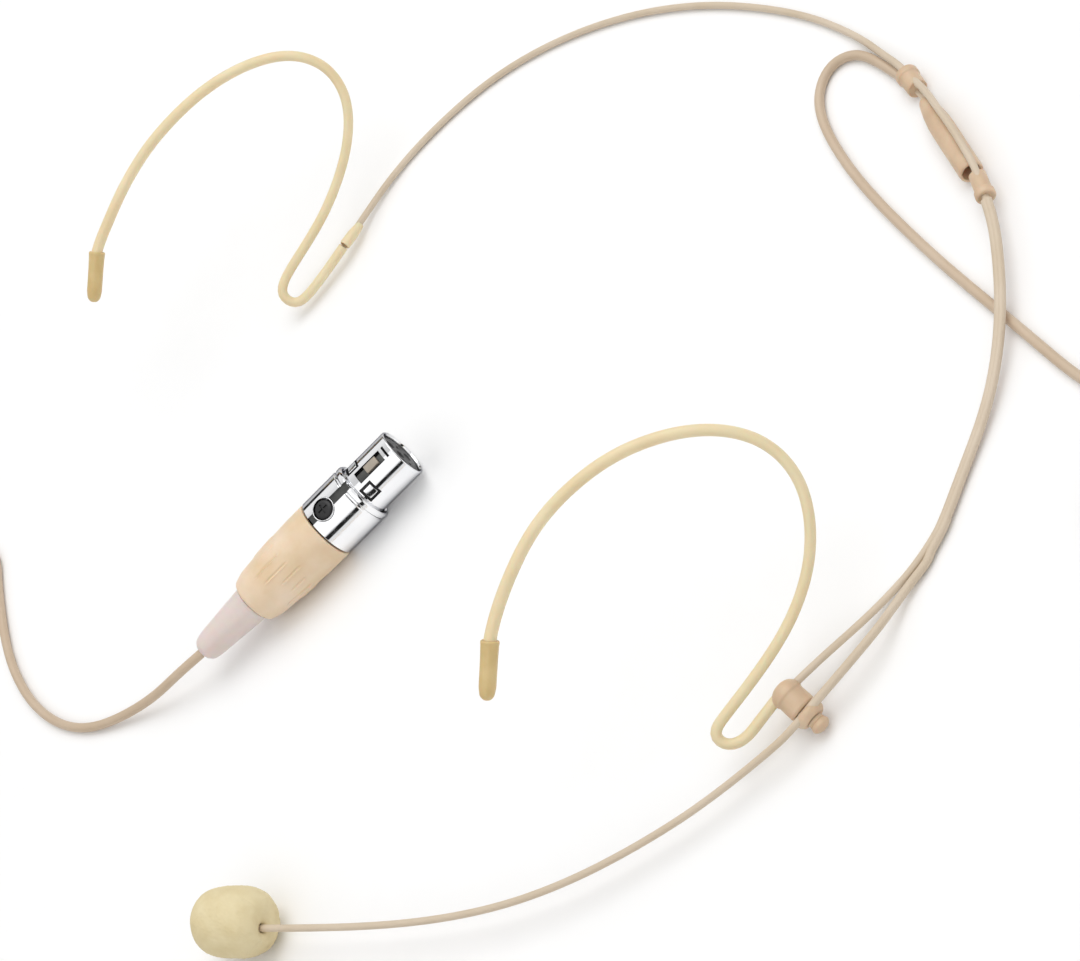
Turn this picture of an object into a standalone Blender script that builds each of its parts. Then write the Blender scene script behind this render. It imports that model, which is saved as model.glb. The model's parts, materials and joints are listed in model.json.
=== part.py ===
"""Dual ear-hook headset microphone with a bodypack lead, standing on a table.

Frame: +X runs from one ear hook to the other, +Y to the back of the neckband, +Z up.
The origin is under the middle of the headset, on the table. Dimensions are in
millimetres here and are turned into metres by the constant MM.
"""

import math

import bmesh
import bpy
import numpy as np
from mathutils import Matrix, Vector

MM = 0.001
OBJECT = "headset_microphone"

# ---------------------------------------------------------------- driving dimensions
FIT = 0.3                 # gap between pieces that touch, face to face
SLIP = 0.12               # radial gap between a wire and the hole that it runs through

WIRE_R = 0.62             # outer radius of the neckband and boom wires
WIRE_STEP = 8.0           # longest step along a wire
HOOK_STEP = 7.0
LEAD_STEP = 4.0
CABLE_STEP = 10.0
WIRE_BORE = 0.46          # bore of their sleeves
BAND_CORE_R = 0.30        # spring wire in the neckband
HOOK_FRONT_R = 1.02       # ear hook sleeve, front leg
HOOK_REAR_R = 0.90        # ear hook sleeve, rear leg
HOOK_BORE = 0.64          # in the front leg; the wall is even, so it narrows with the sleeve
HOOK_CORE_R = 0.36        # spring wire in the ear hooks
CAP_R = 1.42              # soft end cap of an ear hook
CAP_LENGTH = 9.4
CAP_GRIP = 2.6            # depth of the tube in the cap

UPPER_CRIMP_R = 1.85
LOWER_CRIMP_R = 1.55
UPPER_CRIMP_LENGTH = 4.6
LOWER_CRIMP_LENGTH = 5.2
HOUSING_R = 2.08
HOUSING_LENGTH = 19.5
HOUSING_WALL = 0.55
SPLICE_LENGTH = 7.5
SHEATH_R = 1.05
SHEATH_BORE = 0.90
LEAD_R = 0.20             # signal wires to the microphone
LEAD_DROP = 0.54          # how far they run below the spring wire in the sheath

CABLE_R = 0.86            # main cable
COIL_RADIUS = 9.5         # middle of the coiled turns
COIL_HALF_WIDTH = 2.7
COIL_BOTTOM = 0.8
COIL_HEIGHT = 5.0
COIL_ROUND = 0.8
COIL_CENTRE = Vector((115.4, 70.8, 0.0))
TIE_ANGLE = math.radians(225.0)
TIE_STRAP = 0.45
TIE_WIDTH = 3.2

CLAMP_TILT = math.radians(28.0)
CLAMP_CENTRE = Vector((89.1, 7.9, 4.74))
BARREL_R = 2.45
BARREL_LENGTH = 5.6
DISC_R = 2.6
DISC_LENGTH = 1.8
DISC_GAP = 0.3
CHANNEL_DEPTH = 1.42
BOOM_OFFSET = 1.42        # from the clamp's axis to the boom that passes it
BOOM_TAIL = 7.0           # length of boom behind the clamp
BOOM_BORE = 0.42
SCREW_R = 0.55
NUT_START = 0.3
KNOB_R = 1.6
KNOB_LENGTH = 1.45

FOAM_R = 6.05
FOAM_LENGTH = 15.0
FOAM_OFFSET = 1.13        # of the foam's middle line from the capsule's, to the side
FOAM_DEPTH = 11.9         # depth of its bore
CAPSULE_R = 1.75
CAPSULE_LENGTH = 7.0

PLUG_REAR = Vector((-21.2, -62.6, 6.1))
PLUG_AXIS = Vector((0.125, 0.992, 0.0)).normalized()
PLUG_LENGTH = 51.2
PLUG_R = 5.9
NOSE_R = 4.85
BOOT_START = 12.6
BODY_START = 31.6
COLLAR_START = 40.2
COLLAR_END = 41.6
LATCH_ANGLE = math.radians(70.0)
WINDOW_ANGLE = math.radians(32.0)

# ---------------------------------------------------------------- routes, in mm
FAR_HOOK = [
    (-90.8, -25.5, 28.9), (-93.2, -16.1, 30.9), (-94.7, -5.1, 32.1), (-94.5, 3.6, 32.0),
    (-93.6, 10.4, 31.3), (-91.3, 18.3, 29.5), (-87.2, 25.4, 26.0), (-82.9, 27.9, 21.0),
    (-78.8, 25.8, 16.1), (-75.8, 20.8, 12.6), (-74.1, 15.4, 10.3), (-72.6, 8.6, 8.5),
    (-71.7, 1.3, 7.4), (-71.2, -5.5, 6.6), (-70.1, -9.2, 5.2), (-68.4, -8.8, 3.0),
    (-67.8, -4.7, 2.5), (-67.9, 0.0, 2.7), (-68.2, 4.8, 3.0),
]
NEAR_HOOK = [
    (62.0, -15.2, 35.1), (60.6, -11.3, 36.5), (59.0, -4.3, 38.4), (57.9, 3.3, 39.4),
    (58.2, 11.0, 39.3), (59.4, 18.4, 38.0), (62.0, 25.4, 35.6), (65.6, 31.2, 32.0),
    (70.2, 34.8, 26.6), (75.4, 34.0, 20.6), (79.9, 28.7, 15.3), (82.6, 21.8, 11.9),
    (84.1, 13.9, 10.0), (84.6, 6.4, 9.2), (84.8, 0.2, 8.8), (85.3, -4.0, 8.0), (86.9, -3.8, 6.2),
    (87.9, -0.8, 5.3), (87.7, 3.2, 5.4), (87.6, 7.0, 5.5),
]
FAR_CAP = ((-90.8, -25.5, 28.9), (-87.6, -32.5, 25.1))
NEAR_CAP = ((62.0, -15.2, 35.1), (65.4, -22.3, 31.0))
BAND_FRONT = [
    (-69.8, 9.4, 2.0), (-71.6, 13.8, 1.4), (-73.0, 23.3, 0.9), (-71.7, 35.8, 0.8),
    (-68.1, 47.4, 0.8), (-61.1, 59.2, 0.8), (-50.2, 70.9, 0.8), (-37.1, 80.3, 0.8),
    (-23.7, 86.8, 0.8), (-9.6, 91.3, 0.9), (3.3, 93.1, 1.4), (8.6, 93.2, 2.0), (13.2, 93.3, 2.6),
    (18.2, 93.0, 2.9),
]
BAND_OVER_HOUSING = [
    (22.6, 92.75, 3.6), (27.9, 91.95, 4.55), (34.4, 90.7, 5.0), (40.7, 89.1, 4.85),
    (45.0, 87.6, 4.2),
]
BAND_SHEATHED = [
    (49.7, 85.3, 3.4), (54.6, 82.8, 3.2), (60.4, 79.1, 3.3), (66.6, 74.4, 3.4),
    (72.5, 68.1, 2.7), (77.6, 60.2, 1.7), (81.5, 52.0, 1.2), (84.8, 45.2, 1.1),
    (86.7, 40.4, 1.1),
]
BAND_TAIL = [
    (87.2, 34.4, 1.0), (87.3, 27.8, 1.4), (87.6, 21.2, 2.7), (87.9, 15.3, 4.2), (88.0, 9.7, 5.15),
]
LEAD_TAIL = [(88.3, 37.2, 1.0), (89.0, 33.0, 1.25), (90.8, 27.7, 2.6), (92.4, 23.4, 4.0)]
BOOM_CURVE = [
    (92.6, 1.2, 4.35), (91.7, -3.2, 4.3), (90.0, -10.1, 4.25), (87.6, -18.0, 4.3), (83.5, -28.5, 4.6),
    (78.5, -38.6, 5.0), (72.0, -48.4, 5.3), (64.2, -57.5, 5.6), (55.4, -66.1, 5.9),
    (46.0, -74.3, 6.2), (39.7, -79.5, 6.3), (33.9, -84.2, 6.35),
]
CABLE_OUT = [
    (15.4, 92.1, 1.45), (12.0, 92.0, 1.2), (7.0, 91.6, 1.0), (2.0, 90.1, 0.95),
    (-0.3, 86.4, 0.95), (1.6, 81.8, 0.95), (6.4, 78.6, 0.95), (13.0, 76.5, 0.95),
    (22.8, 74.7, 0.95), (36.7, 73.5, 0.95), (51.8, 73.0, 0.95), (66.0, 73.0, 0.95),
    (76.8, 73.0, 0.95), (87.2, 73.2, 0.95), (96.9, 74.9, 1.2), (102.8, 78.1, 1.5),
    (106.6, 80.8, 1.7),
]
CABLE_BACK = [
    (128.9, 68.0, 2.2), (130.4, 58.8, 1.2), (135.0, 46.8, 0.95), (142.4, 32.8, 0.95),
    (149.9, 22.8, 0.95), (156.4, 16.0, 0.95), (160.0, 10.0, 0.95), (158.8, 3.2, 0.95),
    (151.4, -3.4, 0.95), (136.4, -11.8, 0.95), (119.4, -24.4, 0.95), (89.4, -48.2, 0.95),
    (59.4, -72.6, 0.95), (29.4, -96.8, 0.95), (3.4, -118.2, 0.95), (-8.6, -127.8, 0.95),
    (-17.6, -132.6, 0.95), (-27.6, -131.4, 0.95), (-40.6, -124.0, 0.95), (-58.6, -113.4, 0.95),
    (-76.6, -103.0, 0.95), (-88.6, -97.8, 0.95), (-95.6, -93.6, 0.95), (-96.8, -88.4, 0.95),
    (-92.6, -86.6, 0.95), (-87.0, -88.6, 0.95), (-77.9, -92.5, 0.95), (-68.2, -95.6, 0.95),
    (-56.2, -96.7, 0.95), (-45.4, -94.6, 0.95), (-37.4, -89.8, 1.1), (-31.1, -82.2, 1.9),
    (-26.6, -75.2, 3.5), (-23.5, -69.2, 5.3), (-21.6, -63.8, 6.0),
]


# ---------------------------------------------------------------- collections, materials
def clear_scene():
    for old in list(bpy.data.objects):
        bpy.data.objects.remove(old, do_unlink=True)
    for old in list(bpy.data.collections):
        bpy.data.collections.remove(old)


def new_collection(name):
    collection = bpy.data.collections.new(name)
    bpy.context.scene.collection.children.link(collection)
    return collection


clear_scene()
PARTS = new_collection(OBJECT)
CUTTERS = new_collection("cutters")


def material(name, colour, roughness, metallic=0.0):
    made = bpy.data.materials.get(name)
    if made is None:
        made = bpy.data.materials.new(name)
        made.use_nodes = True
        shader = made.node_tree.nodes["Principled BSDF"]
        shader.inputs["Base Color"].default_value = (*colour, 1.0)
        shader.inputs["Roughness"].default_value = roughness
        shader.inputs["Metallic"].default_value = metallic
    return made


STEEL = material("spring_steel", (0.45, 0.45, 0.46), 0.35, 1.0)
SKIN_SILICONE = material("skin_silicone", (0.80, 0.66, 0.42), 0.5)
CAP_SILICONE = material("cap_silicone", (0.62, 0.46, 0.19), 0.55)
SKIN_WIRE = material("skin_wire_jacket", (0.62, 0.48, 0.35), 0.45)
SKIN_PLASTIC = material("skin_plastic", (0.74, 0.55, 0.40), 0.45)
CABLE_JACKET = material("cable_jacket", (0.60, 0.47, 0.34), 0.5)
FOAM = material("foam", (0.72, 0.62, 0.36), 0.95)
CHROME = material("chrome", (0.85, 0.85, 0.87), 0.08, 1.0)
BOOT = material("boot_plastic", (0.82, 0.60, 0.38), 0.45)
RELIEF = material("relief_silicone", (0.78, 0.68, 0.66), 0.4)
INSERT = material("insert_plastic", (0.02, 0.02, 0.02), 0.4)
GOLD = material("gold_contact", (0.80, 0.60, 0.25), 0.25, 1.0)
BRASS = material("brass", (0.75, 0.58, 0.28), 0.3, 1.0)
COPPER = material("copper", (0.80, 0.45, 0.30), 0.35, 1.0)


# ---------------------------------------------------------------- routes and tubes
def smooth_route(points, spacing, turn=22.0, first=0, last=None):
    """Points on a natural cubic spline through the given points, from the point numbered
    first to the one numbered last. They come closer together than spacing mm where the
    route bends, with about turn degrees between one step and the next."""
    knots = np.array(points, dtype=float)
    steps = np.sqrt(np.linalg.norm(np.diff(knots, axis=0), axis=1))
    along = np.concatenate([[0.0], np.cumsum(steps)])
    count = len(knots)
    system = np.zeros((count, count))
    right = np.zeros((count, 3))
    system[0, 0] = 1.0
    system[-1, -1] = 1.0
    for i in range(1, count - 1):
        before = along[i] - along[i - 1]
        after = along[i + 1] - along[i]
        system[i, i - 1] = before
        system[i, i] = 2.0 * (before + after)
        system[i, i + 1] = after
        right[i] = 6.0 * ((knots[i + 1] - knots[i]) / after - (knots[i] - knots[i - 1]) / before)
    bend = np.linalg.solve(system, right)
    if last is None:
        last = count - 1
    fine = []
    for i in range(first, last):
        width = along[i + 1] - along[i]
        for t in np.linspace(0.0, 1.0, 24, endpoint=False):
            a = 1.0 - t
            curve = a * knots[i] + t * knots[i + 1]
            curve += ((a**3 - a) * bend[i] + (t**3 - t) * bend[i + 1]) * width**2 / 6.0
            fine.append(curve)
    fine.append(knots[last])
    fine = np.array(fine)
    runs = np.diff(fine, axis=0)
    lengths = np.linalg.norm(runs, axis=1)
    headings = runs / lengths[:, None]
    cosines = np.clip((headings[1:] * headings[:-1]).sum(axis=1), -1.0, 1.0)
    turns = np.concatenate([[0.0], np.degrees(np.arccos(cosines))])
    effort = np.concatenate([[0.0], np.cumsum(lengths / spacing + turns / turn)])
    marks = np.linspace(0.0, effort[-1], max(2, round(effort[-1]) + 1))
    return [Vector([np.interp(m, effort, fine[:, k]) for k in range(3)]) for m in marks]


def trimmed(route, start=0.0, end=0.0):
    """The route without its first start mm and its last end mm."""
    points = [p.copy() for p in route]
    for cut in (start, end):
        left = cut
        while left > 0.0:
            step = (points[1] - points[0]).length
            if step > left:
                points[0] = points[0].lerp(points[1], left / step)
                break
            left -= step
            points.pop(0)
        points.reverse()
    return points


def tube(name, route, radius, look, bore=0.0, radii=None, resolution=2, origin=None):
    """A round wire along the route, or a sleeve with open ends when it has a bore."""
    base = origin or route[0]
    curve = bpy.data.curves.new(name, "CURVE")
    curve.dimensions = "3D"
    curve.twist_mode = "MINIMUM"
    curve.bevel_depth = radius * MM
    curve.bevel_resolution = resolution
    curve.use_fill_caps = bore == 0.0
    spline = curve.splines.new("POLY")
    spline.points.add(len(route) - 1)
    for i, point in enumerate(route):
        spline.points[i].co = (*((point - base) * MM), 1.0)
        if radii:
            spline.points[i].radius = radii(i / (len(route) - 1))
    curve.materials.append(look)
    obj = bpy.data.objects.new(name, curve)
    obj.location = base * MM
    PARTS.objects.link(obj)
    if bore:
        shell = obj.modifiers.new("wall", "SOLIDIFY")
        shell.thickness = (radius - bore) * MM
        shell.offset = -1.0
    return obj


# ---------------------------------------------------------------- turned pieces
def aligned(axis):
    """A turn that takes +Z to the axis."""
    return axis.normalized().to_track_quat("Z", "Y").to_matrix().to_4x4()


def turned(name, outline, base, axis, look, segments=24, collection=None):
    """A solid turned about the axis. The outline is (radius, height) points in mm, first
    down the outside and then back up the bore, or from axis to axis when it has none."""
    mesh = bpy.data.meshes.new(name)
    ring = [Vector((radius * MM, 0.0, height * MM)) for radius, height in outline]
    closed = all(radius > 0.0 for radius, _ in outline)
    edges = [(i, i + 1) for i in range(len(ring) - 1)]
    if closed:
        edges.append((len(ring) - 1, 0))
    mesh.from_pydata(ring, edges, [])
    mesh.materials.append(look)
    obj = bpy.data.objects.new(name, mesh)
    (collection or PARTS).objects.link(obj)
    obj.matrix_world = Matrix.Translation(base * MM) @ aligned(axis)
    screw = obj.modifiers.new("turn", "SCREW")
    screw.axis = "Z"
    screw.angle = math.tau
    screw.steps = segments
    screw.render_steps = segments
    screw.use_merge_vertices = True
    screw.merge_threshold = 1e-6
    screw.use_smooth_shade = True
    return obj


def cylinder(name, radius, base, axis, length, look, segments=20, collection=None):
    return turned(name, [(0.0, length), (radius, length), (radius, 0.0), (0.0, 0.0)],
                  base, axis, look, segments, collection)


def sleeve(name, radius, bore, base, axis, length, look, segments=20):
    return turned(name, [(radius, length), (radius, 0.0), (bore, 0.0), (bore, length)],
                  base, axis, look, segments)


def cutter_rod(name, radius, start, axis, length, segments=16):
    rod = cylinder(name, radius, start, axis, length, STEEL, segments, CUTTERS)
    rod.display_type = "WIRE"
    rod.hide_render = True
    return rod


def block(name, size, centre, turn, look, collection=None, bevel=0.0):
    """A box of the given size, turned by the 3x3 matrix, about its centre."""
    mesh = bpy.data.meshes.new(name)
    shape = bmesh.new()
    bmesh.ops.create_cube(shape, size=1.0)
    bmesh.ops.scale(shape, vec=Vector(size) * MM, verts=shape.verts)
    shape.to_mesh(mesh)
    shape.free()
    mesh.materials.append(look)
    obj = bpy.data.objects.new(name, mesh)
    (collection or PARTS).objects.link(obj)
    obj.matrix_world = Matrix.Translation(centre * MM) @ turn.to_4x4()
    if bevel:
        edge = obj.modifiers.new("rounded_edges", "BEVEL")
        edge.width = bevel * MM
        edge.segments = 2
        edge.limit_method = "ANGLE"
    return obj


def cutter_block(name, size, centre, turn):
    cutter = block(name, size, centre, turn, STEEL, CUTTERS)
    cutter.display_type = "WIRE"
    cutter.hide_render = True
    return cutter


def cut(target, *cutters):
    for cutter in cutters:
        hole = target.modifiers.new(cutter.name, "BOOLEAN")
        hole.operation = "DIFFERENCE"
        hole.solver = "EXACT"
        hole.object = cutter


def frame_of(forward, up):
    """Columns: side, up, forward, all square to each other."""
    z = forward.normalized()
    side = up.cross(z).normalized()
    return Matrix((side, z.cross(side), z)).transposed()


# ---------------------------------------------------------------- ear hooks
def hook_radius(share):
    """The front leg of the sleeve is thicker than the rear leg; share runs front to rear."""
    blend = min(max((share - 0.25) / 0.35, 0.0), 1.0)
    blend = blend * blend * (3.0 - 2.0 * blend)
    return 1.0 + (HOOK_REAR_R / HOOK_FRONT_R - 1.0) * blend


def ear_hook(side, points, cap_line):
    route = smooth_route(points, HOOK_STEP)
    tube(f"{side}_hook_core", route, HOOK_CORE_R, STEEL, resolution=1)
    front = Vector(cap_line[0])
    axis = (Vector(cap_line[1]) - front).normalized()
    sleeve_route = [front + axis * (CAP_GRIP - 0.7)] + route
    tube(f"{side}_hook_sleeve", sleeve_route, HOOK_FRONT_R, SKIN_SILICONE, bore=HOOK_BORE,
         radii=hook_radius)
    grip_r = HOOK_FRONT_R + SLIP
    rounding = [(CAP_R * math.sin(a), CAP_LENGTH - 1.0 + math.cos(a))
                for a in (0.0, math.pi / 6, math.pi / 3, math.pi / 2)]
    outline = rounding + [(CAP_R, 0.25), (CAP_R - 0.22, 0.0), (grip_r, 0.0),
                          (grip_r, CAP_GRIP), (0.0, CAP_GRIP)]
    turned(f"{side}_hook_cap", outline, front, axis, CAP_SILICONE, 14)


ear_hook("far", FAR_HOOK, FAR_CAP)
ear_hook("near", NEAR_HOOK, NEAR_CAP)

# ---------------------------------------------------------------- neckband
band_start = Vector(BAND_FRONT[0])
joint_start = Vector(FAR_HOOK[-1])
joint_axis = (band_start - joint_start).normalized()
joint_length = (band_start - joint_start).length
turned("far_joint_ferrule",
       [(0.72, joint_length + 0.6), (0.86, joint_length + 0.5), (0.98, joint_length - 1.6),
        (1.0, 1.0), (0.96, FIT), (0.72, FIT)],
       joint_start, joint_axis, SKIN_SILICONE, 14)

band_knots = BAND_FRONT + BAND_OVER_HOUSING + BAND_SHEATHED + BAND_TAIL
sheath_first = len(BAND_FRONT + BAND_OVER_HOUSING)
sheath_last = sheath_first + len(BAND_SHEATHED) - 1
band_route = smooth_route(band_knots, WIRE_STEP, last=sheath_first)
sheath_route = smooth_route(band_knots, WIRE_STEP, first=sheath_first, last=sheath_last)
tail_route = smooth_route(band_knots, WIRE_STEP, first=sheath_last)
core_route = [joint_start + joint_axis * 1.2] + band_route[1:] + sheath_route[1:] + tail_route[1:]
tube("neckband_core", trimmed(core_route, 0.0, 0.3), BAND_CORE_R, STEEL, resolution=1)
tube("neckband_sleeve", trimmed(band_route, 0.0, 2.6), WIRE_R, SKIN_WIRE, bore=WIRE_BORE)
tube("joint_sheath", trimmed(sheath_route, 0.4, 0.4), SHEATH_R, SKIN_WIRE, bore=SHEATH_BORE)
tube("neckband_tail_sleeve", trimmed(tail_route, 2.0, 0.3), WIRE_R, SKIN_WIRE, bore=WIRE_BORE)

# ---------------------------------------------------------------- crimps and splice
upper_axis = Vector((0.986, -0.167, 0.0))
upper_centre = Vector((18.2, 92.6, 2.05))
upper_start = upper_centre - upper_axis * UPPER_CRIMP_LENGTH / 2


def crimp(name, start, axis, radius, length):
    ring = [(0.0, length), (radius - 0.35, length), (radius, length - 0.35), (radius, 0.35),
            (radius - 0.35, 0.0), (0.0, 0.0)]
    return turned(name, ring, start, axis, SKIN_PLASTIC, 16)


def rod_through(name, radius, start, end, over=1.5):
    first, last = Vector(start), Vector(end)
    axis = (last - first).normalized()
    return cutter_rod(name, radius, first - axis * over, axis, (last - first).length + 2 * over)


upper = crimp("upper_crimp", upper_start, upper_axis, UPPER_CRIMP_R, UPPER_CRIMP_LENGTH)
pigtail_points = [(17.6, 92.1, 1.5), (20.4, 91.8, 1.65), (23.6, 91.4, 2.2), (26.9, 90.7, 2.3)]
cut(upper,
    rod_through("upper_band_hole", WIRE_R + SLIP + 0.08, BAND_FRONT[-2], BAND_OVER_HOUSING[0], 0.0),
    rod_through("upper_pigtail_hole", 0.46, pigtail_points[0], pigtail_points[1], 1.0))

lower_axis = Vector((0.933, -0.36, 0.0)).normalized()
lower_centre = Vector((47.3, 86.3, 3.2))
lower_start = lower_centre - lower_axis * LOWER_CRIMP_LENGTH / 2
lower = crimp("lower_crimp", lower_start, lower_axis, LOWER_CRIMP_R, LOWER_CRIMP_LENGTH)
lead_in_sheath = [p - Vector((0.0, 0.0, LEAD_DROP)) for p in sheath_route]
lead_entry = Vector((44.7, 87.1, 2.45))
cut(lower,
    rod_through("lower_band_hole", WIRE_R + SLIP + 0.12, BAND_OVER_HOUSING[-1], BAND_SHEATHED[0]),
    rod_through("lower_lead_hole", LEAD_R + 0.16, lead_entry, lead_in_sheath[0], 1.0))

housing_start = Vector((23.7, 91.4, 2.25))
housing_axis = Vector((0.975, -0.2235, 0.0)).normalized()
bore_r = HOUSING_R - HOUSING_WALL
turned("splice_housing",
       [(HOUSING_R - 0.1, HOUSING_LENGTH), (HOUSING_R, HOUSING_LENGTH - 0.3), (HOUSING_R, 7.0),
        (1.75, 3.6), (1.3, 0.9), (1.05, 0.0), (0.55, 0.0), (0.55, 1.2), (1.1, 3.8), (bore_r, 7.2),
        (bore_r, HOUSING_LENGTH)],
       housing_start, housing_axis, SKIN_PLASTIC, 16)
splice_start = housing_start + housing_axis * 6.0
cylinder("splice_joint", 1.0, splice_start, housing_axis, SPLICE_LENGTH, COPPER, 12)
pigtail = smooth_route(pigtail_points + [splice_start - housing_axis * FIT], 2.4)
tube("cable_pigtail", pigtail, 0.3, COPPER)

# ---------------------------------------------------------------- microphone lead
clamp_axis = Vector((math.cos(CLAMP_TILT), 0.0, -math.sin(CLAMP_TILT)))
clamp_up = Vector((math.sin(CLAMP_TILT), 0.0, math.cos(CLAMP_TILT)))
Y_AXIS = Vector((0.0, 1.0, 0.0))
splice_end = splice_start + housing_axis * (SPLICE_LENGTH + FIT)
lead_in = [splice_end, splice_end.lerp(lead_entry, 0.6), lead_entry] + lead_in_sheath[:2]
lead_out = lead_in_sheath[-2:] + [Vector(p) for p in LEAD_TAIL]
lead_tail = smooth_route(lead_out, LEAD_STEP, first=2)
tube("mic_lead",
     smooth_route(lead_in, LEAD_STEP, last=3) + lead_in_sheath[1:]
     + smooth_route(lead_out, LEAD_STEP, first=1, last=2)[1:] + lead_tail[1:],
     LEAD_R, COPPER, resolution=1)
tube("mic_lead_sleeve", lead_tail, WIRE_R, SKIN_WIRE, bore=WIRE_BORE)


# ---------------------------------------------------------------- clamp
def on_clamp(along, up=0.0, back=0.0):
    """A point by its distance along the clamp's axis, across it, and to the back."""
    return CLAMP_CENTRE + clamp_axis * along + clamp_up * up + Y_AXIS * back


half_barrel = BARREL_LENGTH / 2
barrel = turned("clamp_barrel",
                [(0.0, BARREL_LENGTH), (BARREL_R - 0.25, BARREL_LENGTH),
                 (BARREL_R, BARREL_LENGTH - 0.25), (BARREL_R, 2.4), (BARREL_R + 0.2, 2.1),
                 (BARREL_R + 0.15, 1.4), (BARREL_R - 0.4, 0.6), (1.2, 0.15), (0.0, 0.0)],
                on_clamp(-half_barrel), clamp_axis, SKIN_PLASTIC, 20)
cut(barrel,
    cutter_rod("barrel_nut_bore", 1.32, on_clamp(NUT_START - 0.3), clamp_axis, 6.0),
    cutter_rod("barrel_hook_hole", HOOK_REAR_R + SLIP + 0.05, Vector(NEAR_HOOK[-1]) + Y_AXIS * FIT,
               Vector(NEAR_HOOK[-2]) - Vector(NEAR_HOOK[-1]), 8.0),
    cutter_rod("barrel_band_hole", WIRE_R + SLIP + 0.05, Vector(BAND_TAIL[-1]) - Y_AXIS * FIT,
               Vector(BAND_TAIL[-2]) - Vector(BAND_TAIL[-1]), 8.0))
sleeve("clamp_nut", 1.18, SCREW_R + SLIP, on_clamp(NUT_START), clamp_axis,
       half_barrel - NUT_START - 0.1, BRASS, 16)

disc_start = half_barrel + DISC_GAP
disc = turned("clamp_disc",
              [(DISC_R - 0.2, DISC_LENGTH), (DISC_R, DISC_LENGTH - 0.3), (DISC_R, 0.3),
               (DISC_R - 0.2, 0.0), (SCREW_R + SLIP, 0.0), (SCREW_R + SLIP, DISC_LENGTH)],
              on_clamp(disc_start), clamp_axis, SKIN_PLASTIC, 20)
boom_level = disc_start + WIRE_R - 0.2
channel_turn = frame_of(clamp_axis, clamp_up)
cut(disc, cutter_block("boom_channel", (4 * DISC_R, 2 * WIRE_R + 0.3, 2 * CHANNEL_DEPTH),
                       on_clamp(disc_start, BOOM_OFFSET), channel_turn))
knob_start = disc_start + DISC_LENGTH + DISC_GAP
washer = sleeve("clamp_washer", 1.3, SCREW_R + SLIP, on_clamp(knob_start - 0.02), clamp_axis, 0.3,
                BRASS, 12)
knob_face = knob_start + 0.3 + 0.1
knob = turned("clamp_knob",
              [(0.0, KNOB_LENGTH), (0.8, KNOB_LENGTH - 0.05), (1.35, KNOB_LENGTH - 0.35),
               (KNOB_R, 0.8), (KNOB_R, 0.3), (KNOB_R - 0.2, 0.0), (SCREW_R, 0.0),
               (SCREW_R, NUT_START + 0.3 - knob_face), (0.0, NUT_START + 0.3 - knob_face)],
              on_clamp(knob_face), clamp_axis, SKIN_PLASTIC, 16)

# ---------------------------------------------------------------- boom and microphone
pivot = on_clamp(boom_level, BOOM_OFFSET)
straight = [pivot + Y_AXIS * back for back in (BOOM_TAIL, 3.5, 0.0, -4.0)]
boom_route = smooth_route(straight + [Vector(p) for p in BOOM_CURVE], WIRE_STEP, turn=10.0)
boom = tube("boom_tube", boom_route, WIRE_R, SKIN_WIRE, bore=BOOM_BORE)
signal_wire = tube("boom_signal_wire", boom_route, LEAD_R, COPPER, resolution=1)

boom_end = boom_route[-1]
boom_axis = (Vector(BOOM_CURVE[-1]) - Vector(BOOM_CURVE[-2])).normalized()
boom_axis.z = 0.0
boom_axis.normalize()
capsule_start = boom_end + boom_axis * FIT
capsule = turned("capsule_body",
                 [(CAPSULE_R, CAPSULE_LENGTH), (CAPSULE_R, 1.6), (1.25, 0.5), (0.9, 0.0),
                  (0.32, 0.0), (0.32, 1.0), (1.4, 1.9), (1.4, CAPSULE_LENGTH)],
                 capsule_start, boom_axis, BRASS, 16)
element = cylinder("capsule_element", 1.2, capsule_start + boom_axis * 3.2, boom_axis, 3.2, STEEL, 12)
grille_start = CAPSULE_LENGTH + FIT
grille = turned("capsule_grille",
                [(0.0, 0.9), (1.3, 0.8), (CAPSULE_R, 0.45), (CAPSULE_R, 0.0), (0.0, 0.0)],
                capsule_start + boom_axis * grille_start, boom_axis, STEEL, 16)
for turn_step in range(6):
    angle = turn_step * math.tau / 6
    side = frame_of(boom_axis, Vector((0.0, 0.0, 1.0)))
    offset = side @ Vector((0.95 * math.cos(angle), 0.95 * math.sin(angle), -1.0))
    centre = capsule_start + boom_axis * grille_start + offset
    cut(grille, cutter_rod(f"grille_hole_{turn_step + 1}", 0.22, centre, boom_axis, 3.0, 6))

# The windscreen is a rounded barrel with a bore for the capsule beside its middle line.
foam_rear = capsule_start - boom_axis * 3.4
foam_side = Vector((boom_axis.y, -boom_axis.x, 0.0))
foam_half = FOAM_LENGTH / 2


def foam_radius(height):
    share = abs(height / foam_half - 1.0)
    return FOAM_R * (1.0 - share ** 3.2) ** (1 / 2.5)


heights = [FOAM_LENGTH * (1.0 - math.cos(math.pi * i / 12)) / 2 for i in range(11, 0, -1)]
foam_bore = CAPSULE_R + 0.25
foam = turned("foam_windscreen",
              [(0.0, FOAM_LENGTH)] + [(foam_radius(height), height) for height in heights] + [(0.0, 0.0)],
              foam_rear + foam_side * FOAM_OFFSET, boom_axis, FOAM, 20)
cut(foam, cutter_rod("foam_hole", foam_bore, foam_rear - boom_axis, boom_axis, FOAM_DEPTH + 1.0, 16))

# ---------------------------------------------------------------- plug
plug_side = Vector((PLUG_AXIS.y, -PLUG_AXIS.x, 0.0))


def on_plug(along, angle=0.0, out=0.0):
    return (PLUG_REAR + PLUG_AXIS * along + plug_side * (out * math.cos(angle))
            + Vector((0.0, 0.0, out * math.sin(angle))))


def radial(angle):
    return plug_side * math.cos(angle) + Vector((0.0, 0.0, math.sin(angle)))


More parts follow.
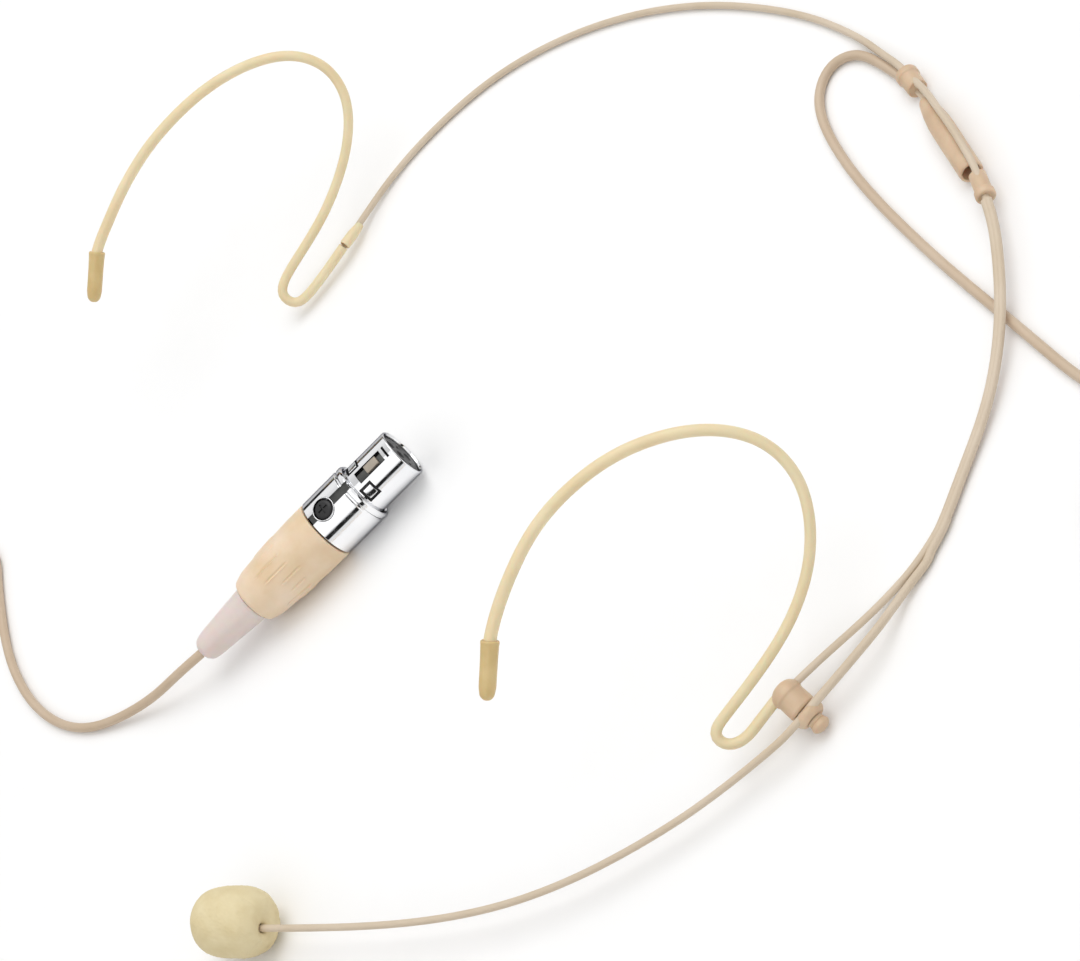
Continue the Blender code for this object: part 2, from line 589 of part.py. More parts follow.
turned("plug_strain_relief",
       [(3.0, 15.6), (3.0, BOOT_START + 0.3), (3.5, BOOT_START), (3.45, BOOT_START - 0.8),
        (2.55, 1.2), (2.1, 0.15), (1.7, 0.0), (0.62, 0.0), (0.62, 15.6)],
       on_plug(0.0), PLUG_AXIS, RELIEF, 18)
turned("plug_boot",
       [(PLUG_R, BODY_START), (PLUG_R, 27.0), (5.55, 20.0), (5.05, 14.6), (4.75, BOOT_START + FIT),
        (3.15, BOOT_START + FIT), (3.15, 16.6), (4.2, 18.0), (4.6, 24.0), (4.6, BODY_START)],
       on_plug(0.0), PLUG_AXIS, BOOT, 20)
SHELL_BORE = 5.0
shell = turned("plug_shell",
               [(SHELL_BORE + 0.35, COLLAR_END), (PLUG_R, COLLAR_END - 0.4),
                (PLUG_R, COLLAR_START + 0.3), (PLUG_R - 0.25, COLLAR_START + 0.1),
                (PLUG_R - 0.25, COLLAR_START - 0.3),
                (PLUG_R, COLLAR_START - 0.5), (PLUG_R, BODY_START + FIT), (SHELL_BORE, BODY_START + FIT),
                (SHELL_BORE, COLLAR_END)],
               on_plug(0.0), PLUG_AXIS, CHROME, 24)
latch_turn = frame_of(PLUG_AXIS, radial(LATCH_ANGLE))
BUTTON_AT = 35.2
button_hole = cutter_rod("button_hole", 2.2, on_plug(BUTTON_AT, LATCH_ANGLE, 4.0),
                         radial(LATCH_ANGLE), 4.0)
cut(shell,
    cutter_block("latch_groove", (1.7, 2.0, 9.6), on_plug(36.6, LATCH_ANGLE, PLUG_R + 0.6),
                 latch_turn),
    button_hole)
NOSE_BORE = 4.35
nose = turned("plug_nose",
              [(NOSE_BORE + 0.15, PLUG_LENGTH), (NOSE_R - 0.2, PLUG_LENGTH), (NOSE_R, PLUG_LENGTH - 0.3),
               (NOSE_R, 32.6), (NOSE_BORE, 32.6), (NOSE_BORE, PLUG_LENGTH - 0.2)],
              on_plug(0.0), PLUG_AXIS, CHROME, 24)
window_turn = frame_of(PLUG_AXIS, radial(WINDOW_ANGLE))
cut(nose,
    button_hole,
    cutter_block("latch_slot", (2.5, 2.0, 17.4), on_plug(41.6, LATCH_ANGLE, 4.9), latch_turn),
    cutter_block("key_window", (2.9, 2.4, 2.7), on_plug(43.3, WINDOW_ANGLE, 4.9), window_turn))
INSERT_R = 4.2
insert = cylinder("plug_insert", INSERT_R, on_plug(40.6), PLUG_AXIS, 10.0, INSERT, 20)
insert_cuts = [cutter_block("latch_clearance", (2.5, 2.4, 14.0), on_plug(44.4, LATCH_ANGLE, 4.2),
                            latch_turn)]
block("key_tab", (1.9, 0.5, 1.8), on_plug(43.3, WINDOW_ANGLE, 4.6), window_turn, CHROME)
socket_spots = [(0.0, 0.0)] + [(2.45, LATCH_ANGLE + math.radians(60 + 120 * k)) for k in range(3)]
for number, (out, angle) in enumerate(socket_spots, 1):
    spot = on_plug(42.6, angle, out)
    insert_cuts.append(cutter_rod(f"socket_hole_{number}", 0.78, spot, PLUG_AXIS, 9.0, 10))
    sleeve(f"socket_contact_{number}", 0.62, 0.42, spot + PLUG_AXIS * 0.3, PLUG_AXIS, 6.8, GOLD, 10)
for number in range(3):
    angle = LATCH_ANGLE + math.radians(120 * number)
    mark = on_plug(50.2, angle, 2.35)
    insert_cuts.append(cutter_rod(f"insert_mark_{number + 1}", 0.3, mark, PLUG_AXIS, 2.0, 6))
cut(insert, *insert_cuts)

# The latch: a leaf with the hook at its front, and the release button on it.
LEAF_OUT = 4.05
leaf = block("latch_leaf", (1.5, 0.4, 16.0), on_plug(41.4, LATCH_ANGLE, LEAF_OUT), latch_turn, STEEL)
on_leaf = LEAF_OUT + 0.26
hook = block("latch_hook", (1.5, 0.8, 2.8), on_plug(46.6, LATCH_ANGLE, on_leaf + 0.4), latch_turn,
             STEEL, bevel=0.15)
button = turned("latch_button",
                [(0.0, 1.75), (1.2, 1.7), (1.7, 1.45), (1.9, 1.1), (1.9, 0.55), (0.8, 0.5),
                 (0.8, 0.0), (0.0, 0.0)],
                on_plug(BUTTON_AT, LATCH_ANGLE, on_leaf), radial(LATCH_ANGLE), INSERT, 16)
sleeve("plug_cable_clamp", 2.3, 0.75, on_plug(19.0), PLUG_AXIS, 4.0, BRASS, 12)
cylinder("plug_conductor", 0.4, on_plug(0.5), PLUG_AXIS, 39.6, COPPER, 8)

# ---------------------------------------------------------------- main cable, as it lies
tube("main_cable_a", smooth_route(CABLE_OUT, CABLE_STEP), CABLE_R, CABLE_JACKET)
tube("main_cable_b", smooth_route(CABLE_BACK, CABLE_STEP), CABLE_R, CABLE_JACKET)
inner = COIL_RADIUS - COIL_HALF_WIDTH
outer = COIL_RADIUS + COIL_HALF_WIDTH
turned("cable_coil",
       [(outer - COIL_ROUND, COIL_HEIGHT), (outer, COIL_HEIGHT - COIL_ROUND), (outer, COIL_ROUND),
        (outer - COIL_ROUND, 0.0), (inner + COIL_ROUND, 0.0), (inner, COIL_ROUND),
        (inner, COIL_HEIGHT - COIL_ROUND), (inner + COIL_ROUND, COIL_HEIGHT)],
       COIL_CENTRE + Vector((0.0, 0.0, COIL_BOTTOM)), Vector((0.0, 0.0, 1.0)), CABLE_JACKET, 30)
tie_out = Vector((math.cos(TIE_ANGLE), math.sin(TIE_ANGLE), 0.0))
tie_centre = COIL_CENTRE + tie_out * COIL_RADIUS + Vector((0.0, 0.0, COIL_BOTTOM + COIL_HEIGHT / 2))
tie_turn = frame_of(tie_out.cross(Vector((0.0, 0.0, 1.0))), Vector((0.0, 0.0, 1.0)))
tie_inside = (2 * COIL_HALF_WIDTH + 0.9, COIL_HEIGHT + 0.3)
tie = block("cable_tie", (tie_inside[0] + 2 * TIE_STRAP, tie_inside[1] + 2 * TIE_STRAP, TIE_WIDTH),
            tie_centre, tie_turn, INSERT)
cut(tie, cutter_block("tie_opening", (*tie_inside, 2 * TIE_WIDTH), tie_centre, tie_turn))


# ---------------------------------------------------------------- joint axes
def on_axis(name, place, *pieces):
    """An empty on a joint's axis, which carries the pieces that move about it."""
    empty = bpy.data.objects.new(name, None)
    empty.location = place * MM
    empty.empty_display_size = 5.0 * MM
    PARTS.objects.link(empty)
    bpy.context.view_layer.update()
    for piece in pieces:
        piece.parent = empty
        piece.matrix_parent_inverse = empty.matrix_world.inverted()


on_axis("boom_swivel_axis", CLAMP_CENTRE, disc)
on_axis("knob_axis", CLAMP_CENTRE, knob, washer)
on_axis("boom_slide_axis", pivot, boom, signal_wire, capsule, element, grille)
on_axis("windscreen_axis", foam_rear, foam)
on_axis("latch_axis", on_plug(BUTTON_AT, LATCH_ANGLE, LEAF_OUT), leaf, hook, button)
bpy.context.view_layer.update()
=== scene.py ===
"""The looks of the headset microphone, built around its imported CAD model.

Lengths are in millimetres, in the CAD model's frame, until a mesh is made. Every piece
takes its place from the CAD nodes that it stands for: a wire from the middle line of the
wire inside it, a turned piece from its node's axis. The free cable repeats its route.
"""

import json
import math

import bmesh
import bpy
import numpy as np
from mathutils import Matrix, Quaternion, Vector, noise
from mathutils.kdtree import KDTree


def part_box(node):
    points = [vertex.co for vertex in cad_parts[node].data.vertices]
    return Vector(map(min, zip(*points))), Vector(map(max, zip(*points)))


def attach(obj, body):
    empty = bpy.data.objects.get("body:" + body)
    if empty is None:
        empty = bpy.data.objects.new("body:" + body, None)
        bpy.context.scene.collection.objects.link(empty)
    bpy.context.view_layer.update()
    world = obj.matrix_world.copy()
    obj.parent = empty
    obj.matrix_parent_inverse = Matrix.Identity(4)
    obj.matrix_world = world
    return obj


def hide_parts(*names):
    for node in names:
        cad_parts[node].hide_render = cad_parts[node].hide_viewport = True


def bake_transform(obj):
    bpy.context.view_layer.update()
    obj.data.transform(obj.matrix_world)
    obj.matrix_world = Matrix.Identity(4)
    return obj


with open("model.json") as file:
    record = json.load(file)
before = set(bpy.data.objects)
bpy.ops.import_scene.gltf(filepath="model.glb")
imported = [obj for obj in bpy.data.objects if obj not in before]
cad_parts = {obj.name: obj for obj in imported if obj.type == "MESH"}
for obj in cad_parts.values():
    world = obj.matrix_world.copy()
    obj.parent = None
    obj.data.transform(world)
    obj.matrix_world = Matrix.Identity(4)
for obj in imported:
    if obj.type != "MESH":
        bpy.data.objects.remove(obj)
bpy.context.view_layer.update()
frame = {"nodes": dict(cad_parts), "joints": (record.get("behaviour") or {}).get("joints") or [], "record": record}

MM = 0.001
UP = np.array([0.0, 0.0, 1.0])
JOINTS = {joint["name"]: joint for joint in frame["joints"]}

# ---------------------------------------------------------------- sizes, in mm
HOOK_FRONT_R, HOOK_REAR_R = 1.02, 0.90
HOOK_CORE_R = 0.36
BAND_CORE_R = 0.30
SIGNAL_R = 0.20
WIRE_R = 0.62
LEAD_R, LEAD_BORE = 0.70, 0.66
CAP_LENGTH, CAP_GRIP = 9.4, 2.6
UPPER_CRIMP = (1.85, 4.6)   # radius and length
LOWER_CRIMP = (1.55, 5.2)
HOUSING_R, HOUSING_LENGTH = 2.08, 19.5
SPLICE_FROM = 6.0          # from the housing's narrow end to the splice inside it
CABLE_R = 0.86
BARREL_R, BARREL_LENGTH = 2.45, 5.6
DISC_R, DISC_LENGTH, DISC_FROM = 2.6, 1.8, 3.1
KNOB_R, KNOB_LENGTH, KNOB_FROM = 1.6, 1.45, 5.6
CHANNEL_OFF, CHANNEL_DEPTH = 1.42, 1.42
FOAM_R, FOAM_LENGTH, FOAM_BORE, FOAM_DEPTH = 6.05, 15.0, 2.0, 11.9
FOAM_OFFSET = 1.13         # from the foam's middle line to the capsule's

# ---------------------------------------------------------------- camera
LOOK_AT = Vector((9.953, 1.512, 0.0))
AZIMUTH, ELEVATION, ROLL = (math.radians(a) for a in (98.78, 42.802, -55.649))
DISTANCE = 606.46
LENS = 119.27


def add_camera():
    level = math.cos(ELEVATION)
    back = Vector((math.sin(AZIMUTH) * level, -math.cos(AZIMUTH) * level, math.sin(ELEVATION)))
    camera = bpy.data.objects.new("camera", bpy.data.cameras.new("camera"))
    camera.data.sensor_width = 36.0
    camera.data.lens = LENS
    camera.data.clip_start = 0.01
    camera.data.clip_end = 20.0
    camera.location = (LOOK_AT + back * DISTANCE) * MM
    camera.rotation_mode = "QUATERNION"
    turned = (-back).to_track_quat("-Z", "Y") @ Quaternion((0.0, 0.0, 1.0), ROLL)
    camera.rotation_quaternion = turned
    bpy.context.scene.collection.objects.link(camera)
    bpy.context.scene.camera = camera


# ---------------------------------------------------------------- reading the CAD nodes
RING_REACH = 1.35          # of a wire's radius: the most from a corner to the next in its ring


def unit(v):
    return np.asarray(v, float) / np.linalg.norm(v)


def points_of(node):
    points = np.array([v.co for v in frame["nodes"][node].data.vertices]) / MM
    return np.unique(points.round(4), axis=0)


def centre_of(node):
    low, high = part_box(node)
    return np.array((low + high) / 2) / MM


def facing(axis, towards):
    return axis if np.dot(axis, towards) > 0 else -axis


def long_axis(node, towards):
    """The axis of a slender round node, pointing the same way as towards."""
    _, _, rows = np.linalg.svd(points_of(node) - centre_of(node))
    return facing(rows[0], np.asarray(towards, float))


def cap_axis(node, towards):
    """The axis of a short round node: the way that its flat ends face."""
    rough = long_axis(node, towards)
    areas = {}
    for face in frame["nodes"][node].data.polygons:
        normal = facing(np.array(face.normal), rough)
        if np.dot(normal, rough) < 0.9:
            continue
        key = tuple(normal.round(2))
        total, _ = areas.get(key, (0.0, None))
        areas[key] = (total + face.area, normal)
    return unit(max(areas.values(), key=lambda entry: entry[0])[1])


def rings_of(corners, reach):
    """The number of each corner's ring, and how many rings there are. Corners no further
    apart than reach share a ring."""
    tree = KDTree(len(corners))
    for i, corner in enumerate(corners):
        tree.insert(corner, i)
    tree.balance()
    ring_of = [-1] * len(corners)
    rings = 0
    for i in range(len(corners)):
        if ring_of[i] >= 0:
            continue
        waiting = [i]
        while waiting:
            j = waiting.pop()
            if ring_of[j] < 0:
                ring_of[j] = rings
                waiting += [k for _, k, _ in tree.find_range(corners[j], reach)]
        rings += 1
    return ring_of, rings


def rings_beside(mesh, ring_of, rings):
    """For each ring, the rings that share a face with it."""
    beside = [set() for _ in range(rings)]
    for face in mesh.polygons:
        found = {ring_of[v] for v in face.vertices}
        for ring in found:
            beside[ring] |= found - {ring}
    return beside


def centreline(node, radius, start):
    """The middle line of a wire's node: the middles of its rings of corners, in order,
    from the end that is nearer to start."""
    mesh = frame["nodes"][node].data
    corners = [Vector(v.co) / MM for v in mesh.vertices]
    ring_of, rings = rings_of(corners, RING_REACH * radius)
    beside = rings_beside(mesh, ring_of, rings)
    middles = []
    for ring in range(rings):
        own = np.array([corners[i] for i in range(len(corners)) if ring_of[i] == ring])
        middles.append(np.unique(own.round(4), axis=0).mean(axis=0))
    ends = [ring for ring in range(rings) if len(beside[ring]) == 1]
    order = [min(ends, key=lambda ring: np.linalg.norm(middles[ring] - start))]
    while True:
        onward = beside[order[-1]] - set(order)
        if not onward:
            return np.array([middles[ring] for ring in order])
        order.append(onward.pop())


# ---------------------------------------------------------------- lines and their frames
def lengths_along(points):
    steps = np.linalg.norm(np.diff(points, axis=0), axis=1)
    return np.concatenate([[0.0], np.cumsum(steps)])


def smooth_line(points, spacing):
    """Points about every spacing mm on a natural cubic spline through the given points."""
    knots = np.array(points, dtype=float)
    steps = np.sqrt(np.linalg.norm(np.diff(knots, axis=0), axis=1))
    along = np.concatenate([[0.0], np.cumsum(steps)])
    count = len(knots)
    system = np.eye(count)
    right = np.zeros((count, 3))
    for i in range(1, count - 1):
        before = along[i] - along[i - 1]
        after = along[i + 1] - along[i]
        system[i, i - 1:i + 2] = before, 2.0 * (before + after), after
        right[i] = 6.0 * ((knots[i + 1] - knots[i]) / after - (knots[i] - knots[i - 1]) / before)
    bend = np.linalg.solve(system, right)
    fine = []
    for i in range(count - 1):
        width = along[i + 1] - along[i]
        for t in np.linspace(0.0, 1.0, 24, endpoint=False):
            a = 1.0 - t
            curve = a * knots[i] + t * knots[i + 1]
            curve += ((a**3 - a) * bend[i] + (t**3 - t) * bend[i + 1]) * width**2 / 6.0
            fine.append(curve)
    fine = np.array(fine + [knots[-1]])
    length = lengths_along(fine)
    marks = np.linspace(0.0, length[-1], max(2, round(length[-1] / spacing) + 1))
    return np.array([[np.interp(m, length, fine[:, k]) for k in range(3)] for m in marks])


def nearest(line, point):
    return int(np.argmin(np.linalg.norm(line - point, axis=1)))


def frames_along(line, up=None):
    """Side and lift at each point: turning as little as possible, or level."""
    tangents = np.gradient(line, axis=0)
    tangents /= np.linalg.norm(tangents, axis=1)[:, None]
    lift = unit(np.cross(tangents[0], [0.3, 0.5, 0.8])) if up is None else np.array(up, float)
    lifts = []
    for tangent in tangents:
        lift = unit(lift - tangent * np.dot(lift, tangent))
        lifts.append(lift)
        if up is not None:
            lift = np.array(up, float)
    lifts = np.array(lifts)
    return np.cross(tangents, lifts), lifts


# ---------------------------------------------------------------- meshes
def add_mesh(name, points, faces, material, sharp=50.0):
    mesh = bpy.data.meshes.new(name)
    mesh.from_pydata([Vector(p) * MM for p in points], [], faces)
    shape = bmesh.new()
    shape.from_mesh(mesh)
    bmesh.ops.recalc_face_normals(shape, faces=shape.faces)
    shape.to_mesh(mesh)
    shape.free()
    mesh.shade_smooth()
    mesh.set_sharp_from_angle(angle=math.radians(sharp))
    mesh.materials.append(material)
    piece = bpy.data.objects.new(name, mesh)
    bpy.context.scene.collection.objects.link(piece)
    return piece


def ring_faces(first, second, sides):
    return [(first + i, first + (i + 1) % sides, second + (i + 1) % sides, second + i)
            for i in range(sides)]


def sweep(name, line, radius, material, sides=16, bore=None, up=None, section=None):
    """A wire or a sleeve along the line. radius is a number, or a function of the share of
    the length; section gives the radius's factor at the angles."""
    side, lift = frames_along(line, up)
    share = lengths_along(line)
    share /= share[-1]
    radii = [radius(s) if callable(radius) else radius for s in share]
    angles = np.linspace(0.0, math.tau, sides, endpoint=False)
    stations = [(line[i], i, radii[i]) for i in range(len(line))]
    if bore:
        stations += [(line[i], i, bore) for i in reversed(range(len(line)))]
    points = []
    for middle, i, size in stations:
        reach = size * (section(share[i], angles) if section else np.ones(sides))
        points += list(middle + side[i] * (np.cos(angles) * reach)[:, None]
                       + lift[i] * (np.sin(angles) * reach)[:, None])
    faces = []
    for k in range(len(stations) - 1):
        faces += ring_faces(k * sides, (k + 1) * sides, sides)
    last = (len(stations) - 1) * sides
    if bore:
        faces += ring_faces(last, 0, sides)
    else:
        faces += [tuple(range(sides)), tuple(range(last, last + sides))]
    return add_mesh(name, points, faces, material)


def softened(outline, size, closed):
    """The outline with each corner rounded off by a short curve."""
    points = [np.array(p, float) for p in outline]
    count = len(points)
    made = []
    for i, corner in enumerate(points):
        if not closed and i in (0, count - 1):
            made.append(corner)
            continue
        before = points[i - 1] - corner
        after = points[(i + 1) % count] - corner
        cut = min(size, np.linalg.norm(before) * 0.45, np.linalg.norm(after) * 0.45)
        first, last = corner + unit(before) * cut, corner + unit(after) * cut
        for t in (0.0, 0.25, 0.5, 0.75, 1.0):
            made.append(first * (1 - t)**2 + corner * 2 * t * (1 - t) + last * t**2)
    return made


def divided(profile, step):
    """The profile with its points no further apart than step."""
    finer = [profile[0]]
    for first, last in zip(profile, profile[1:]):
        count = max(1, math.ceil(np.linalg.norm(last - first) / step))
        finer += [first + (last - first) * k / count for k in range(1, count + 1)]
    return finer


def lathe_faces(profile, starts, sides, closed):
    """Quads from ring to ring, and triangles where the profile meets the axis."""
    faces = []
    pairs = list(zip(range(len(starts)), range(1, len(starts))))
    if closed:
        pairs.append((len(starts) - 1, 0))
    for i, j in pairs:
        poles = profile[i][0] < 1e-6, profile[j][0] < 1e-6
        if poles == (False, False):
            faces += ring_faces(starts[i], starts[j], sides)
        elif poles == (True, False):
            faces += [(starts[i], starts[j] + k, starts[j] + (k + 1) % sides) for k in range(sides)]
        elif poles == (False, True):
            faces += [(starts[j], starts[i] + k, starts[i] + (k + 1) % sides) for k in range(sides)]
    return faces


def lathe(name, outline, base, axis, material, across=None, sides=72, soften=0.12, step=None,
          shape=None, shift=None, sharp=50.0):
    """A piece turned about the axis from (radius, height) points, from axis to axis or all
    round a hollow section. shape(radius, height, angle) changes the radius, and
    shift(radius, height) moves a ring sideways, along across."""
    closed = outline[0][0] > 0.0 or outline[-1][0] > 0.0
    profile = softened(outline, soften, closed) if soften else [np.array(p, float) for p in outline]
    if step:
        whole = profile + [profile[0]] if closed else profile
        profile = divided(whole, step)
        if closed:
            profile.pop()
    axis = unit(axis)
    across = np.cross(axis, UP) if across is None else np.asarray(across, float)
    across = unit(across - axis * np.dot(across, axis))
    over = np.cross(across, axis)
    angles = np.linspace(0.0, math.tau, sides, endpoint=False)
    points, starts = [], []
    for radius, height in profile:
        starts.append(len(points))
        middle = base + axis * height + across * (shift(radius, height) if shift else 0.0)
        if radius < 1e-6:
            points.append(middle)
            continue
        for a in angles:
            reach = shape(radius, height, a) if shape else radius
            points.append(middle + (across * math.cos(a) + over * math.sin(a)) * reach)
    return add_mesh(name, points, lathe_faces(profile, starts, sides, closed), material, sharp)


def rod(base, axis, radius, length, sides=32):
    return lathe("cutter", [(0.0, 0.0), (radius, 0.0), (radius, length), (0.0, length)],
                 np.asarray(base, float), axis, None, sides=sides, soften=0.0)


def brick(name, size, centre, side, rise, material, bevel=0.0, cuts=3):
    """A block with its width along side, its height along rise, and rounded edges."""
    side, rise = unit(side), unit(rise)
    forward = np.cross(side, rise)
    shape = bmesh.new()
    bmesh.ops.create_cube(shape, size=1.0)
    for v in shape.verts:
        x, y, z = (c * s for c, s in zip(v.co, size))
        v.co = Vector(centre + side * x + rise * y + forward * z)
    shape.normal_update()
    if bevel:
        bmesh.ops.bevel(shape, geom=shape.edges[:], offset=bevel, segments=cuts, affect="EDGES",
                        profile=0.5)
    points = [np.array(v.co) for v in shape.verts]
    faces = [tuple(v.index for v in f.verts) for f in shape.faces]
    shape.free()
    return add_mesh(name, points, faces, material, 35.0)


def carve(piece, *cutters):
    """Cuts the cutters out of the piece, and removes them."""
    for cutter in cutters:
        hole = piece.modifiers.new("hole", "BOOLEAN")
        hole.operation = "DIFFERENCE"
        hole.solver = "EXACT"
        hole.object = cutter
    graph = bpy.context.evaluated_depsgraph_get()
    mesh = bpy.data.meshes.new_from_object(piece.evaluated_get(graph))
    piece.modifiers.clear()
    piece.data = mesh
    mesh.shade_smooth()
    mesh.set_sharp_from_angle(angle=math.radians(40.0))
    for cutter in cutters:
        bpy.data.objects.remove(cutter, do_unlink=True)
    return piece


def place(piece, body, slot, *nodes):
    """The piece rides on the body, and stands for the CAD nodes."""
    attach(piece, body)
    if nodes:
        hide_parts(*nodes)
    return piece


# ---------------------------------------------------------------- materials
def srgb(red, green, blue):
    """The linear colour of an sRGB one, given from 0 to 255."""
    return tuple(((v / 255 + 0.055) / 1.055) ** 2.4 for v in (red, green, blue)) + (1.0,)


def add_noise(tree, scale, detail):
    """Noise in the piece's own coordinates; scale is in waves per metre."""
    coordinates = tree.nodes.new("ShaderNodeTexCoord")
    cloud = tree.nodes.new("ShaderNodeTexNoise")
    cloud.inputs["Scale"].default_value = scale
    cloud.inputs["Detail"].default_value = detail
    tree.links.new(coordinates.outputs["Object"], cloud.inputs["Vector"])
    return cloud.outputs["Fac"]


def add_range(tree, value, low, high):
    spread = tree.nodes.new("ShaderNodeMapRange")
    spread.inputs["From Min"].default_value = 0.3
    spread.inputs["From Max"].default_value = 0.7
    spread.inputs["To Min"].default_value = low
    spread.inputs["To Max"].default_value = high
    tree.links.new(value, spread.inputs["Value"])
    return spread.outputs["Result"]


def look(name, light, shade, rough, patch=160.0, grain=3000.0, bump=0.25, rise=0.02, **shading):
    """A material whose colour drifts between two tones, with uneven gloss and a fine bump
    of about rise mm. shading holds further inputs of the shader."""
    made = bpy.data.materials.new(name)
    made.use_nodes = True
    tree = made.node_tree
    shader = tree.nodes["Principled BSDF"]
    patches = add_noise(tree, patch, 4.0)
    mix = tree.nodes.new("ShaderNodeMix")
    mix.data_type = "RGBA"
    mix.inputs["A"].default_value = srgb(*light)
    mix.inputs["B"].default_value = srgb(*shade)
    tree.links.new(add_range(tree, patches, 0.0, 1.0), mix.inputs["Factor"])
    tree.links.new(mix.outputs["Result"], shader.inputs["Base Color"])
    fine = add_noise(tree, grain, 3.0)
    tree.links.new(add_range(tree, fine, rough - 0.06, rough + 0.06), shader.inputs["Roughness"])
    relief = tree.nodes.new("ShaderNodeBump")
    relief.inputs["Strength"].default_value = bump
    relief.inputs["Distance"].default_value = rise * MM
    tree.links.new(fine, relief.inputs["Height"])
    tree.links.new(relief.outputs["Normal"], shader.inputs["Normal"])
    for key, value in shading.items():
        shader.inputs[key.replace("_", " ")].default_value = value
    return made


SOFT = {"Subsurface_Weight": 0.25, "Subsurface_Scale": 0.0008}
SILICONE = look("silicone_tube", (237, 219, 181), (230, 209, 167), 0.40, patch=120.0, **SOFT)
CAP_RUBBER = look("cap_rubber", (216, 192, 138), (206, 179, 122), 0.42, patch=300.0, **SOFT)
WIRE_JACKET = look("wire_jacket", (214, 198, 177), (205, 187, 162), 0.45, patch=90.0)
PLASTIC = look("skin_plastic", (218, 192, 162), (203, 175, 144), 0.45, patch=260.0, **SOFT)
JACKET = look("cable_jacket", (207, 187, 164), (197, 175, 149), 0.45, patch=90.0)
SPONGE = look("sponge", (229, 215, 176), (219, 202, 158), 0.95, patch=260.0, grain=2200.0,
              bump=0.5, rise=0.1)
CHROME = look("polished_chrome", (250, 250, 251), (242, 243, 245), 0.08, grain=600.0, bump=0.03,
              rise=0.003, Metallic=1.0, Specular_Tint=(0.22, 0.22, 0.24, 1.0))
BOOT = look("boot_plastic", (238, 216, 190), (226, 200, 163), 0.42, patch=170.0, **SOFT)
RELIEF = look("relief_silicone", (236, 223, 217), (228, 213, 206), 0.34, patch=150.0, grain=900.0,
              bump=0.1, Transmission_Weight=0.12, Subsurface_Weight=0.5, Subsurface_Scale=0.002)
BLACK = look("black_plastic", (26, 26, 27), (19, 19, 20), 0.42, patch=400.0)
INSERT = look("insert_plastic", (56, 55, 55), (45, 45, 46), 0.50, patch=500.0)
DARK_STEEL = look("dark_steel", (92, 92, 90), (70, 71, 70), 0.38, patch=500.0, Metallic=0.85)
TAUPE_STEEL = look("taupe_steel", (176, 166, 152), (160, 150, 136), 0.42, patch=500.0, Metallic=0.4)
STEEL = look("spring_steel", (178, 178, 180), (160, 160, 163), 0.34, patch=400.0, Metallic=1.0)
GOLD = look("gold_contact", (226, 190, 112), (212, 172, 92), 0.26, patch=500.0, Metallic=1.0)
BRASS = look("turned_brass", (214, 184, 112), (196, 164, 94), 0.32, patch=500.0, Metallic=1.0)
COPPER = look("copper", (214, 150, 112), (196, 128, 92), 0.36, patch=500.0, Metallic=1.0)
CARRIED = {"spring_steel": STEEL, "brass": BRASS, "copper": COPPER, "gold_contact": GOLD,
           "chrome": CHROME, "black_plastic": BLACK}

# ---------------------------------------------------------------- the main cable and the plug
CABLE_OUT = [
    (15.4, 92.1, 1.45), (12.0, 92.0, 1.2), (7.0, 91.6, 1.0), (2.0, 90.1, 0.95),
    (-0.3, 86.4, 0.95), (1.6, 81.8, 0.95), (6.4, 78.6, 0.95), (13.0, 76.5, 0.95),
    (22.8, 74.7, 0.95), (36.7, 73.5, 0.95), (51.8, 73.0, 0.95), (66.0, 73.0, 0.95),
    (76.8, 73.0, 0.95), (87.2, 73.2, 0.95), (96.9, 74.9, 1.2), (102.8, 78.1, 1.5),
    (106.6, 80.8, 1.7),
]
CABLE_BACK = [
    (128.9, 68.0, 2.2), (130.4, 58.8, 1.2), (135.0, 46.8, 0.95), (142.4, 32.8, 0.95),
    (149.9, 22.8, 0.95), (156.4, 16.0, 0.95), (160.0, 10.0, 0.95), (158.8, 3.2, 0.95),
    (151.4, -3.4, 0.95), (136.4, -11.8, 0.95), (119.4, -24.4, 0.95), (89.4, -48.2, 0.95),
    (59.4, -72.6, 0.95), (29.4, -96.8, 0.95), (3.4, -118.2, 0.95), (-8.6, -127.8, 0.95),
    (-17.6, -132.6, 0.95), (-27.6, -131.4, 0.95), (-40.6, -124.0, 0.95), (-58.6, -113.4, 0.95),
    (-76.6, -103.0, 0.95), (-88.6, -97.8, 0.95), (-95.6, -93.6, 0.95), (-96.8, -88.4, 0.95),
    (-92.6, -86.6, 0.95), (-87.0, -88.6, 0.95), (-77.9, -92.5, 0.95), (-68.2, -95.6, 0.95),
    (-56.2, -96.7, 0.95), (-45.4, -94.6, 0.95), (-37.4, -89.8, 1.1), (-31.1, -82.2, 1.9),
    (-26.6, -75.2, 3.5), (-23.5, -69.2, 5.3), (-21.6, -63.8, 6.0),
]
COIL_RADIUS, COIL_PITCH = 9.5, 2 * CABLE_R
COIL_TURNS = [(1, -1), (0, -1), (-1, -1), (-1, 0), (0, 0), (1, 0), (1, 1), (0, 1), (-1, 1)]
STEP_FROM = {-1: 300.0, 0: 170.0, 1: 40.0}      # degrees: where a layer's turns step sideways
STEP_SPAN = 58.0
CLIMB_EARLIER = 65.0       # a step up to the next layer starts this much sooner
COIL_ANGLE = 131.0         # of the winding's zero, from +X
COIL_START, LAST_TURN = 8.0, 33.0               # degrees left out at first, and wound at last
COIL_EVERY = 6.0
# The way out over the coil: degrees on, mm further out, mm higher.
WAY_OUT = ((22.0, 0.3, 0.75), (44.0, 1.2, 1.6), (66.0, 2.6, 1.75), (88.0, 4.2, 1.2))


